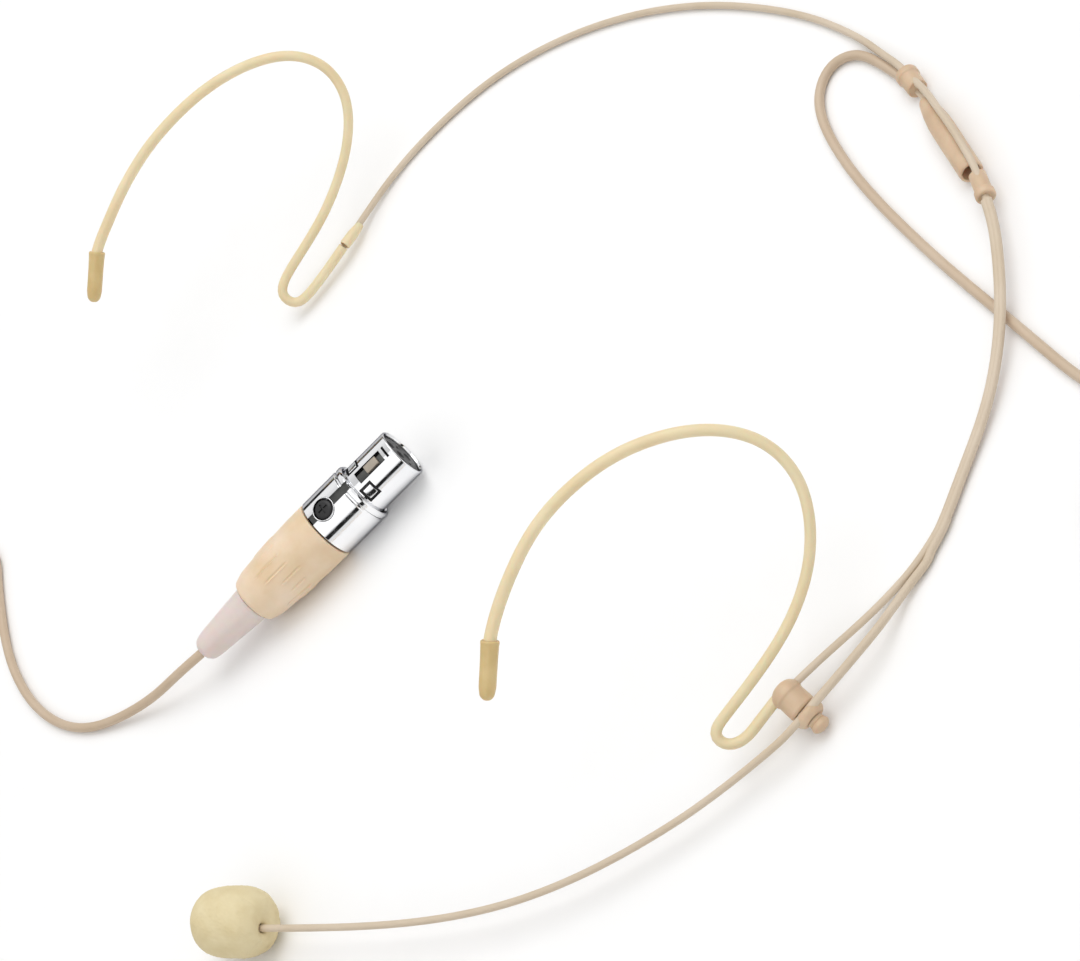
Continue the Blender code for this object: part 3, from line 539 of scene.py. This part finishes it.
def coil_points():
    """A little over eight wound turns: columns across and layers up, in the order of
    COIL_TURNS. In each turn the cable steps over to the next place, layer by layer."""
    centre = centre_of("cable_coil")
    steps = []
    for turn, (old, new) in enumerate(zip(COIL_TURNS, COIL_TURNS[1:])):
        climbs = old[1] != new[1]
        start = STEP_FROM[old[1]] - CLIMB_EARLIER * climbs
        steps.append((360.0 * turn + start, old, new))
    end = 360.0 * (len(COIL_TURNS) - 1) + LAST_TURN
    points = []
    turned = COIL_START
    while turned < end:
        column, layer = COIL_TURNS[0]
        for start, old, new in steps:
            share = min(max((turned - start) / STEP_SPAN, 0.0), 1.0)
            share = share * share * (3.0 - 2.0 * share)
            column += (new[0] - old[0]) * share
            layer += (new[1] - old[1]) * share
        angle = math.radians(COIL_ANGLE - turned)
        radius = COIL_RADIUS + COIL_PITCH * column
        points.append(centre + np.array([math.cos(angle) * radius, math.sin(angle) * radius,
                                         COIL_PITCH * layer]))
        turned += COIL_EVERY
    return points


def way_out_of_coil(last):
    """From the innermost top turn over the coil's top, and down outside it."""
    centre = centre_of("cable_coil")
    start = math.atan2(last[1] - centre[1], last[0] - centre[0])
    reach = np.linalg.norm((last - centre)[:2])
    points = []
    for turn, out, height in WAY_OUT:
        angle = start - math.radians(turn)
        points.append(np.array([centre[0] + math.cos(angle) * (reach + out),
                                centre[1] + math.sin(angle) * (reach + out), last[2] + height]))
    return points


def add_cable(plug_pieces):
    coil = coil_points()
    rear, axis = plug_rear(), plug_axis()
    inside = [rear + axis * s for s in (1.0, 5.0, 10.0)]
    knots = [np.array(p) for p in CABLE_OUT] + coil + way_out_of_coil(coil[-1])
    knots += [np.array(p) for p in CABLE_BACK] + inside
    line = smooth_line(knots, 1.0)
    cable = sweep("main_cable", line, CABLE_R, JACKET, sides=14)
    place(cable, "root", "cable_jacket", "main_cable_a", "main_cable_b", "cable_coil")


TIE_SIZE, TIE_HOLE = (7.1, 6.3, 3.0), (6.0, 5.3, 8.0)
TIE_HEAD, TIE_HEAD_IN = (1.7, 3.0, 3.6), 4.2


def add_tie():
    centre = centre_of("cable_tie")
    out = unit((centre - centre_of("cable_coil")) * (1, 1, 0))
    strap = brick("tie_strap", TIE_SIZE, centre, out, UP, BLACK, bevel=1.2, cuts=5)
    carve(strap, brick("cutter", TIE_HOLE, centre, out, UP, None, bevel=1.0, cuts=5))
    head = brick("tie_head", TIE_HEAD, centre - out * TIE_HEAD_IN, out, UP, BLACK, bevel=0.35)
    place(strap, "root", "black_plastic", "cable_tie")
    place(head, "root", "black_plastic")
    return [strap, head]


CONDUCTOR_LENGTH, CONDUCTOR_FROM = 39.6, 0.5
PLUG_R, SHELL_BORE = 5.9, 5.0
NOSE_R, NOSE_BORE = 4.85, 4.35
PLUG_LENGTH = 51.2
BOOT_FROM, SHELL_FROM, COLLAR_FROM, COLLAR_TO = 12.9, 31.9, 40.2, 41.6
INSERT_R, INSERT_FROM, INSERT_LENGTH = 4.2, 40.6, 10.0
BUTTON_AT, BUTTON_HOLE_R = 35.2, 2.2
BUTTON_OUT, BUTTON_HEIGHT = 4.31, 1.72     # from the plug's axis to the button, and its height
WINDOW_AT = 43.3           # the key windows, along the plug
HOLE_FROM = 42.6           # where the contacts' holes start


def plug_axis():
    return long_axis("plug_conductor", (0, 1, 0))


def plug_rear():
    return centre_of("plug_conductor") - plug_axis() * (CONDUCTOR_LENGTH / 2 + CONDUCTOR_FROM)


def plug_out(node):
    """The direction from the plug's axis to the middle of a node."""
    offset = centre_of(node) - plug_rear()
    return unit(offset - plug_axis() * np.dot(offset, plug_axis()))


def on_plug(along, out=0.0, direction=UP):
    return plug_rear() + plug_axis() * along + direction * out


RIBS = 16
RIB_PLACES = [(20.6, 2.9), (22.4, 1.8), (22.6, 2.3), (21.2, 2.6), (23.0, 1.6), (21.9, 1.7)]


def boot_rib(radius, height, angle):
    """Short ribs along the boot, staggered round it."""
    if radius < 4.3 or not 15.0 < height < 29.0:
        return radius
    spacing = math.tau / RIBS
    number = round(angle / spacing) % RIBS
    offset = (angle - round(angle / spacing) * spacing) * radius
    middle, reach = RIB_PLACES[number % len(RIB_PLACES)]
    window = 1.0 / (1.0 + math.exp(7.0 * (abs(height - middle) - reach)))
    crest = math.exp(-(offset / 0.13)**2) - 1.1 * math.exp(-((offset - 0.30) / 0.13)**2)
    return radius + 0.15 * window * crest


def plug_cut(size, along, out, direction):
    """A block that cuts into the plug from the side that direction points to."""
    middle = on_plug(along, out, direction)
    return brick("cutter", size, middle, np.cross(direction, plug_axis()), direction, None)


def add_relief():
    outline = [(0.92, 15.6), (3.0, 15.6), (3.0, 12.9), (3.52, 12.75), (3.42, 11.0), (2.66, 2.0),
               (2.3, 0.7), (1.5, 0.0), (0.92, 0.0)]
    return lathe("strain_relief", outline, plug_rear(), plug_axis(), RELIEF, soften=0.9)


def add_boot(latch):
    outline = [(4.6, 31.6), (5.84, 31.6), (5.9, 31.2), (5.88, 27.5), (5.6, 21.0), (5.12, 15.4),
               (4.5, 13.3), (3.7, BOOT_FROM), (3.2, BOOT_FROM), (3.2, 16.6), (4.2, 18.0),
               (4.6, 24.0)]
    return lathe("boot_moulding", outline, plug_rear(), plug_axis(), BOOT, across=latch,
                 sides=252, soften=0.7, step=0.3, shape=boot_rib)


def button_hole(latch):
    return rod(on_plug(BUTTON_AT, 4.0, latch), latch, BUTTON_HOLE_R, 4.0, 48)


def add_shell(latch):
    outline = [(SHELL_BORE, COLLAR_TO - 0.7), (5.35, COLLAR_TO - 0.05), (5.62, COLLAR_TO),
               (PLUG_R, COLLAR_TO - 0.4), (PLUG_R, COLLAR_FROM + 0.35),
               (5.68, COLLAR_FROM + 0.15), (5.68, COLLAR_FROM - 0.15),
               (PLUG_R, COLLAR_FROM - 0.35), (PLUG_R, SHELL_FROM + 0.1),
               (PLUG_R - 0.1, SHELL_FROM), (SHELL_BORE, SHELL_FROM)]
    shell = lathe("chrome_shell", outline, plug_rear(), plug_axis(), CHROME, across=latch,
                  sides=144, soften=0.1)
    return carve(shell, plug_cut((1.7, 3.0, 9.6), 36.7, PLUG_R + 0.2, latch), button_hole(latch))


def add_ring(latch):
    outline = [(1.98, 0.35), (2.14, 0.35), (2.14, -0.6), (1.98, -0.6)]
    return lathe("button_ring", outline, on_plug(BUTTON_AT, 5.55, latch), latch, CHROME, sides=64,
                 soften=0.06)


def add_nose(latch, windows):
    outline = [(NOSE_BORE, PLUG_LENGTH - 0.35), (NOSE_BORE + 0.12, PLUG_LENGTH),
               (NOSE_R - 0.12, PLUG_LENGTH), (NOSE_R, PLUG_LENGTH - 0.15), (NOSE_R, 32.6),
               (NOSE_BORE, 32.6)]
    nose = lathe("chrome_nose", outline, plug_rear(), plug_axis(), CHROME, across=latch,
                 sides=144, soften=0.06)
    return carve(nose, button_hole(latch),
                 *[plug_cut((2.3, 2.0, length), along, 4.9, latch)
                   for along, length in ((46.1, 6.0), (49.95, 0.45), (37.0, 8.0))],
                 *[plug_cut((2.9, 2.4, 2.7), WINDOW_AT, 4.9, out) for out in windows])


def add_key_tabs(windows):
    return [brick(f"key_tab_{number}", (1.9, 0.5, 1.8), on_plug(WINDOW_AT, 4.58, out),
                  np.cross(out, plug_axis()), out, CHROME, bevel=0.12)
            for number, out in enumerate(windows, 1)]


def contact_holes(contacts, rear, axis):
    """A hole for each contact, with a sunk rim, and for all but the first contact a small
    dimple across the axis from it."""
    holes = []
    for contact in contacts:
        spot = centre_of(contact)
        spot = spot + axis * (HOLE_FROM - np.dot(spot - rear, axis))
        holes.append(rod(spot, axis, 0.78, 9.0))
        holes.append(lathe("cutter", [(0.0, 0.0), (0.78, 0.0), (1.0, 0.3), (0.0, 0.3)],
                           spot + axis * 7.8, axis, None, sides=32, soften=0.0))
        if contact == contacts[0]:
            continue
        away = unit(spot - on_plug(HOLE_FROM))
        holes.append(rod(on_plug(50.3, 2.35, -away), axis, 0.34, 1.0, 20))
    return holes


def add_insert(latch, contacts):
    rear, axis = plug_rear(), plug_axis()
    outline = [(0.0, INSERT_LENGTH), (INSERT_R, INSERT_LENGTH), (INSERT_R, 0.0), (0.0, 0.0)]
    insert = lathe("contact_insert", outline, on_plug(INSERT_FROM), axis, INSERT, across=latch,
                   sides=96)
    return carve(insert, *contact_holes(contacts, rear, axis),
                 plug_cut((2.5, 2.4, 14.0), 44.4, 4.2, latch))


def add_button(latch):
    outline = [(0.0, BUTTON_HEIGHT), (1.25, 1.7), (1.65, 1.5), (1.86, 1.15), (1.86, 0.5),
               (0.8, 0.5), (0.8, 0.0), (0.0, 0.0)]
    button = lathe("release_button", outline, on_plug(BUTTON_AT, BUTTON_OUT, latch), latch, BLACK,
                   sides=48, soften=0.15)
    top = BUTTON_OUT + BUTTON_HEIGHT
    return carve(button, plug_cut((2.0, 0.5, 0.34), BUTTON_AT, top, latch),
                 plug_cut((0.34, 0.5, 2.0), BUTTON_AT, top, latch))


def add_groove(latch):
    groove = brick("groove_strip", (1.66, 0.3, 9.2), on_plug(36.6, 5.3, latch),
                   np.cross(latch, plug_axis()), latch, DARK_STEEL)
    return carve(groove, rod(on_plug(BUTTON_AT, 4.5, latch), latch, 2.1, 2.0, 48))


def add_leaf_and_hook(latch):
    side = np.cross(latch, plug_axis())
    leaf = brick("latch_strip", (1.5, 0.4, 16.0), on_plug(41.4, 4.05, latch), side, latch,
                 DARK_STEEL, bevel=0.06)
    hook = brick("latch_tooth", (1.5, 0.8, 2.8), on_plug(46.6, 4.71, latch), side, latch,
                 TAUPE_STEEL, bevel=0.12)
    return leaf, hook


def add_plug():
    latch, window = plug_out("latch_button"), plug_out("key_tab")
    windows = (window, latch * 2 * np.dot(latch, window) - window)
    contacts = [f"socket_contact_{number}" for number in (1, 2, 3, 4)]
    relief = add_relief()
    boot = add_boot(latch)
    shell = add_shell(latch)
    ring = add_ring(latch)
    nose = add_nose(latch, windows)
    tabs = add_key_tabs(windows)
    insert = add_insert(latch, contacts)
    button = add_button(latch)
    groove = add_groove(latch)
    leaf, hook = add_leaf_and_hook(latch)
    place(relief, "root", "relief_silicone", "plug_strain_relief")
    place(boot, "root", "boot_plastic", "plug_boot")
    place(shell, "root", "chrome", "plug_shell")
    place(ring, "root", "chrome")
    place(groove, "root", "spring_steel")
    place(nose, "root", "chrome", "plug_nose")
    place(tabs[0], "root", "chrome", "key_tab")
    place(tabs[1], "root", "chrome")
    place(insert, "root", "black_plastic", "plug_insert")
    place(button, "plug_latch", "black_plastic", "latch_button")
    place(leaf, "plug_latch", "spring_steel", "latch_leaf")
    place(hook, "plug_latch", "spring_steel", "latch_hook")
    inner = [frame["nodes"][name] for name in contacts + ["plug_conductor", "plug_cable_clamp"]]
    return [relief, boot, shell, ring, groove, nose, *tabs, insert, button, leaf, hook, *inner]


# ---------------------------------------------------------------- ear hooks
def hook_radius(share):
    blend = min(max((share - 0.25) / 0.35, 0.0), 1.0)
    blend = blend * blend * (3.0 - 2.0 * blend)
    return HOOK_FRONT_R + (HOOK_REAR_R - HOOK_FRONT_R) * blend


def cap_ripple(radius, height, angle):
    if radius < 1.1 or height < 0.5:
        return radius
    return radius - 0.022 * abs(math.sin(5.5 * angle)) ** 6


def add_hook(side):
    cap = f"{side}_hook_cap"
    core = centreline(f"{side}_hook_core", HOOK_CORE_R, centre_of(cap))
    mouth = core[0]
    axis = long_axis(cap, centre_of(cap) - mouth)
    line = smooth_line([mouth + axis * (CAP_GRIP - 0.6), *core], 0.7)
    tube = sweep(f"{side}_hook_tube", line, hook_radius, SILICONE, sides=24, bore=0.62)
    inside = HOOK_FRONT_R + 0.06
    end = lathe(f"{side}_hook_end",
                [(inside, 0.05), (1.36, -0.02), (1.52, 0.25), (1.46, 0.9), (1.40, 3.0), (1.38, 7.4),
                 (1.16, 8.7), (0.6, 9.3), (0.0, CAP_LENGTH), (0.0, CAP_GRIP), (inside, CAP_GRIP)][::-1],
                mouth, axis, CAP_RUBBER, sides=96, soften=0.35, step=0.4, shape=cap_ripple)
    place(tube, "root", "skin_silicone", f"{side}_hook_sleeve")
    place(end, "root", "cap_silicone", cap)
    return core


# ---------------------------------------------------------------- neckband
BAND_SPACING = 0.8
LOBE_OFF = 0.40            # from the sheath's middle to the wire in one of its lobes
TAIL_EASE = 9.0            # length over which the tail comes back to the band's own line


def two_lobes(share, angles):
    """Two wires side by side under one jacket."""
    lobe, apart = 0.66, 0.32
    across = np.abs(np.cos(angles))
    return apart * across + np.sqrt(lobe**2 - (apart * np.sin(angles))**2)


def covered(line, node):
    """The first and last points of the line that the node covers."""
    found = [nearest(line, p) for p in points_of(node)]
    return min(found), max(found)


def add_neckband(far_end):
    knots = centreline("neckband_core", BAND_CORE_R, far_end)
    line = smooth_line(knots, BAND_SPACING)
    first, last = covered(line, "joint_sheath")
    side, _ = frames_along(line, UP)
    shift = np.clip((np.arange(len(line)) - last) * BAND_SPACING / TAIL_EASE, 0.0, 1.0)
    shift = (1.0 - shift * shift * (3.0 - 2.0 * shift)) * (np.arange(len(line)) >= last - 1)
    towards = -side if side[last][0] > 0 else side
    tail_line = line + towards * (LOBE_OFF * shift)[:, None]
    band = sweep("neckband", line[:first + 2], WIRE_R, WIRE_JACKET, sides=18)
    sheath = sweep("sheath", line[first:last + 1], 1.0, WIRE_JACKET, sides=36, up=UP,
                   section=two_lobes)
    tail = sweep("neckband_tail", tail_line[last - 2:], WIRE_R, WIRE_JACKET, sides=18)
    place(band, "root", "skin_wire_jacket", "neckband_sleeve")
    place(sheath, "root", "skin_wire_jacket", "joint_sheath")
    place(tail, "root", "skin_wire_jacket", "neckband_tail_sleeve")
    return line, last, -towards


def add_ferrule(far_end, band_end):
    axis = long_axis("far_joint_ferrule", centre_of("far_joint_ferrule") - far_end)
    length = np.dot(band_end - far_end, axis) + 3.6
    piece = lathe("hook_ferrule",
                  [(0.64, 0.3), (0.94, 0.3), (1.02, 0.55), (1.02, length - 1.9), (0.80, length + 0.1),
                   (0.68, length + 0.6), (0.64, length + 0.6)],
                  far_end, axis, SILICONE, sides=40, soften=0.15)
    place(piece, "root", "skin_silicone", "far_joint_ferrule")


def add_crimp(name, node, size, outwards):
    """A short cylinder with a wider collar at the end that faces outwards."""
    radius, length = size
    axis = cap_axis(node, outwards)
    base = centre_of(node) - axis * length / 2
    outline = [(0.0, 0.1), (radius - 0.45, 0.1), (radius - 0.3, 0.0), (radius - 0.12, 0.1),
               (radius - 0.08, length - 1.5), (radius + 0.16, length - 1.25),
               (radius + 0.16, length - 0.2), (radius - 0.05, length), (radius - 0.4, length),
               (radius - 0.5, length - 0.1), (0.0, length - 0.1)]
    piece = lathe(name, outline, base, axis, PLASTIC, sides=64, soften=0.14)
    place(piece, "root", "skin_plastic", node)


def add_housing():
    axis = long_axis("splice_joint", (1, 0, 0))
    start = centre_of("splice_joint") - axis * (7.5 / 2 + SPLICE_FROM)
    length = HOUSING_LENGTH
    piece = lathe("splice_tube",
                  [(0.5, 0.0), (0.92, 0.0), (1.12, 0.35), (1.34, 1.0), (1.8, 3.7), (2.04, 6.2),
                   (HOUSING_R, 8.0), (HOUSING_R, length - 0.35), (HOUSING_R - 0.16, length),
                   (1.62, length), (1.53, length - 0.3), (1.53, 7.2), (1.1, 3.8), (0.5, 1.2)],
                  start, axis, PLASTIC, sides=72, soften=0.25)
    place(piece, "root", "skin_plastic", "splice_housing")


def add_pigtail():
    line = smooth_line(centreline("cable_pigtail", 0.3, centre_of("upper_crimp")), 0.4)
    piece = sweep("pigtail", line, 0.40, WIRE_JACKET, sides=16)
    place(piece, "root", "copper", "cable_pigtail")


# ---------------------------------------------------------------- clamp and boom
clamp_at = np.array(JOINTS["knob_turn"]["pos_m"]) / MM
clamp_axis = unit(JOINTS["knob_turn"]["axis"])
clamp_up = unit(np.cross(clamp_axis, (0, 1, 0)) * -1)


def on_clamp(along, up=0.0, back=0.0):
    return clamp_at + clamp_axis * along + clamp_up * up + np.array([0.0, back, 0.0])


def add_clamp():
    half = BARREL_LENGTH / 2
    barrel = lathe("barrel",
                   [(0.0, BARREL_LENGTH), (BARREL_R - 0.3, BARREL_LENGTH),
                    (BARREL_R, BARREL_LENGTH - 0.35), (BARREL_R - 0.06, 2.6), (BARREL_R + 0.16, 2.25),
                    (BARREL_R + 0.1, 1.35), (BARREL_R - 0.45, 0.55), (1.2, 0.09), (0.0, -0.02)],
                   on_clamp(-half), clamp_axis, PLASTIC, sides=96, soften=0.4)
    carve(barrel, rod(on_clamp(0.0), clamp_axis, 1.32, 6.0))
    disc = lathe("swivel_disc",
                 [(0.67, DISC_LENGTH), (1.5, DISC_LENGTH), (DISC_R - 0.5, DISC_LENGTH - 0.12),
                  (DISC_R - 0.05, DISC_LENGTH - 0.7), (DISC_R, 0.6), (DISC_R - 0.3, 0.0), (0.67, 0.0)],
                 on_clamp(DISC_FROM), clamp_axis, PLASTIC, sides=96, soften=0.35)
    channel = (4 * DISC_R, 2 * WIRE_R + 0.3, 2 * CHANNEL_DEPTH)
    carve(disc, brick("cutter", channel, on_clamp(DISC_FROM, CHANNEL_OFF),
                      np.cross(clamp_up, clamp_axis), clamp_up, None))
    knob = lathe("knob",
                 [(0.0, KNOB_LENGTH), (0.85, KNOB_LENGTH - 0.06), (1.35, KNOB_LENGTH - 0.4),
                  (KNOB_R, 0.8), (KNOB_R - 0.06, 0.35), (1.36, -0.05), (0.55, -0.05), (0.55, -4.6),
                  (0.0, -4.6)],
                 on_clamp(KNOB_FROM), clamp_axis, PLASTIC, sides=72, soften=0.3)
    neck = lathe("knob_neck", [(0.67, 0.3), (1.42, 0.3), (1.3, 0.05), (1.45, -0.3), (0.67, -0.3)],
                 on_clamp(KNOB_FROM - 0.32), clamp_axis, PLASTIC, sides=64, soften=0.1)
    place(neck, "clamp_screw", "skin_plastic", "clamp_washer")
    place(barrel, "root", "skin_plastic", "clamp_barrel")
    place(disc, "boom_carrier", "skin_plastic", "clamp_disc")
    place(knob, "clamp_screw", "skin_plastic", "clamp_knob")


def add_boom():
    line = smooth_line(centreline("boom_signal_wire", SIGNAL_R, clamp_at), 0.7)
    boom = sweep("boom", line, WIRE_R, WIRE_JACKET, sides=18, bore=0.42)
    place(boom, "boom", "skin_wire_jacket", "boom_tube")
    return line


LEAD_OVER_BOOM = (0.0, 3.5, 7.0, 8.0)      # along the boom from its tail end


def add_lead(band, last, outward, boom_line):
    """The microphone's lead: from the sheath's outer lobe to the clamp, over the boom's tail.
    With the boom swung fully up it dips 0.8 mm below the table, a fault that remains."""
    core = centreline("mic_lead", SIGNAL_R, centre_of("splice_joint"))
    visible = [p for p in core if p[1] < band[last][1] - 3.0]
    hidden = np.array([p for p in core if p[1] > band[last][1] + 1.0])
    lobe = [band[last + i] + outward[last + i] * off for i, off in ((-4, 0.40), (-1, 0.42), (3, 0.75))]
    tail = [boom_line[0] - np.array([0.0, ahead, 0.0]) for ahead in LEAD_OVER_BOOM]
    line = smooth_line(lobe + visible + tail, 0.6)
    lead = sweep("microphone_lead", line, LEAD_R, WIRE_JACKET, sides=18, bore=LEAD_BORE)
    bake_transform(lead)
    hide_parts("mic_lead_sleeve")
    place(sweep("splice_wire", hidden, SIGNAL_R, COPPER, sides=10), "root", "copper", "mic_lead")


# ---------------------------------------------------------------- windscreen
FOAM_STEPS = 28            # of its rounded outline, from end to end


def foam_radius(height):
    share = abs(2 * height / FOAM_LENGTH - 1.0)
    return FOAM_R * max(1.0 - share ** 3.2, 0.0) ** (1 / 2.5)


def foam_skin(radius, height, angle):
    """Pores all over, and folds that run to the hole at the rear."""
    spot = Vector((math.cos(angle) * radius, math.sin(angle) * radius, height))
    pores = noise.noise(spot * 2.6) + 0.6 * noise.noise(spot * 5.5)
    lumps = noise.noise(spot * 0.35 + Vector((7.0, 3.0, 1.0)))
    fold = abs(math.sin(4.5 * angle + 0.4 * math.sin(3 * angle)))
    pull = max(0.0, 1.0 - height / 4.5) ** 2
    if radius < FOAM_BORE + 0.05:
        return radius
    return radius * (1.0 - 0.08 * pull * (1.0 - fold) ** 2) + 0.07 * pores + 0.12 * lumps


def foam_lean(radius, height):
    """The hole lies beside the foam's middle line, and the rear face leans over to it."""
    if radius < FOAM_BORE + 0.05 and height > 0.5:
        return FOAM_OFFSET
    return FOAM_OFFSET * min(max((3.9 - radius) / 2.4, 0.0), 1.0)


def add_windscreen():
    axis = unit(JOINTS["windscreen_pull"]["axis"])
    base = centre_of("foam_windscreen") - axis * FOAM_LENGTH / 2
    arc = [math.pi * i / FOAM_STEPS for i in range(FOAM_STEPS - 1, 3, -1)]
    heights = [FOAM_LENGTH * (1 - math.cos(a)) / 2 for a in arc]
    outline = [(0.0, FOAM_LENGTH)] + [(foam_radius(h), h) for h in heights]
    outline += [(3.0, 0.46), (2.2, 0.36), (1.6, 0.40), (1.1, 0.62), (0.80, 1.0), (0.73, 1.5),
                (0.78, 2.3), (1.5, 2.9), (FOAM_BORE, 3.3), (FOAM_BORE, FOAM_DEPTH), (0.0, FOAM_DEPTH)]
    sideways = np.array([-axis[1], axis[0], 0.0])
    foam = lathe("windscreen", outline, base, axis, SPONGE, across=sideways, sides=230,
                 soften=0.0, step=0.2, shape=foam_skin, shift=foam_lean, sharp=120.0)
    place(foam, "windscreen", "foam", "foam_windscreen")


# ---------------------------------------------------------------- floor, light, the rest
def add_stage():
    mesh = bpy.data.meshes.new("floor")
    mesh.from_pydata([(-4, -4, 0), (4, -4, 0), (4, 4, 0), (-4, 4, 0)], [], [(0, 1, 2, 3)])
    mesh.materials.append(look("floor_paper", (251, 251, 251), (250, 250, 250), 0.75, bump=0.0))
    floor = bpy.data.objects.new("floor", mesh)
    bpy.context.scene.collection.objects.link(floor)


def add_light(name, power, size, at, aim):
    lamp = bpy.data.lights.new(name, "AREA")
    lamp.shape = "DISK"
    lamp.size = size
    lamp.energy = power
    lamp_object = bpy.data.objects.new(name, lamp)
    lamp_object.location = at
    lamp_object.rotation_euler = (Vector(aim) - Vector(at)).to_track_quat("-Z", "Y").to_euler()
    bpy.context.scene.collection.objects.link(lamp_object)


# The studio's brightness against the direction's height: 0 is level or lower, 1 straight up.
SKY_STOPS = ((0.0, 1.0), (0.12, 1.0), (0.15, 0.02), (0.36, 0.02), (0.40, 1.2), (0.7, 1.1),
             (1.0, 0.8))


def add_sky():
    """A white studio: bright low down, then a dark band, and bright again above it."""
    world = bpy.data.worlds.new("studio")
    bpy.context.scene.world = world
    world.use_nodes = True
    tree = world.node_tree
    coordinates = tree.nodes.new("ShaderNodeTexCoord")
    split = tree.nodes.new("ShaderNodeSeparateXYZ")
    ramp = tree.nodes.new("ShaderNodeValToRGB")
    tree.links.new(coordinates.outputs["Generated"], split.inputs["Vector"])
    tree.links.new(split.outputs["Z"], ramp.inputs["Fac"])
    tree.links.new(ramp.outputs["Color"], tree.nodes["Background"].inputs["Color"])
    while len(ramp.color_ramp.elements) < len(SKY_STOPS):
        ramp.color_ramp.elements.new(0.5)
    for element, (height, value) in zip(ramp.color_ramp.elements, SKY_STOPS):
        element.position = height
        element.color = (value, value, value, 1.0)
    tree.nodes["Background"].inputs["Strength"].default_value = 0.8


def finish_carried_nodes():
    """The CAD nodes that nothing replaces get the looks of their slots."""
    slots = {part["node"]: part["material_slot"] for part in frame["record"]["subparts"]}
    for name, node in frame["nodes"].items():
        if slots[name] in CARRIED:
            node.data.materials.clear()
            node.data.materials.append(CARRIED[slots[name]])


add_camera()
plug_pieces = add_plug()
add_cable(plug_pieces + add_tie())
far_core = add_hook("far")
add_hook("near")
band, sheath_last, outward = add_neckband(far_core[-1])
add_ferrule(far_core[-1], band[0])
add_crimp("band_crimp", "upper_crimp", UPPER_CRIMP, (-1, 0, 0))
add_crimp("joint_crimp", "lower_crimp", LOWER_CRIMP, (1, 0, 0))
add_housing()
add_pigtail()
add_clamp()
boom_line = add_boom()
add_lead(band, sheath_last, outward, boom_line)
add_windscreen()
finish_carried_nodes()
add_stage()
add_sky()
add_light("key", 8.8, 1.4, (-0.25, 0.55, 1.4), (0.0, 0.0, 0.0))
add_light("fill", 2.5, 1.6, (0.8, -0.5, 1.3), (0.0, 0.0, 0.0))
bpy.context.scene.view_settings.view_transform = "Standard"
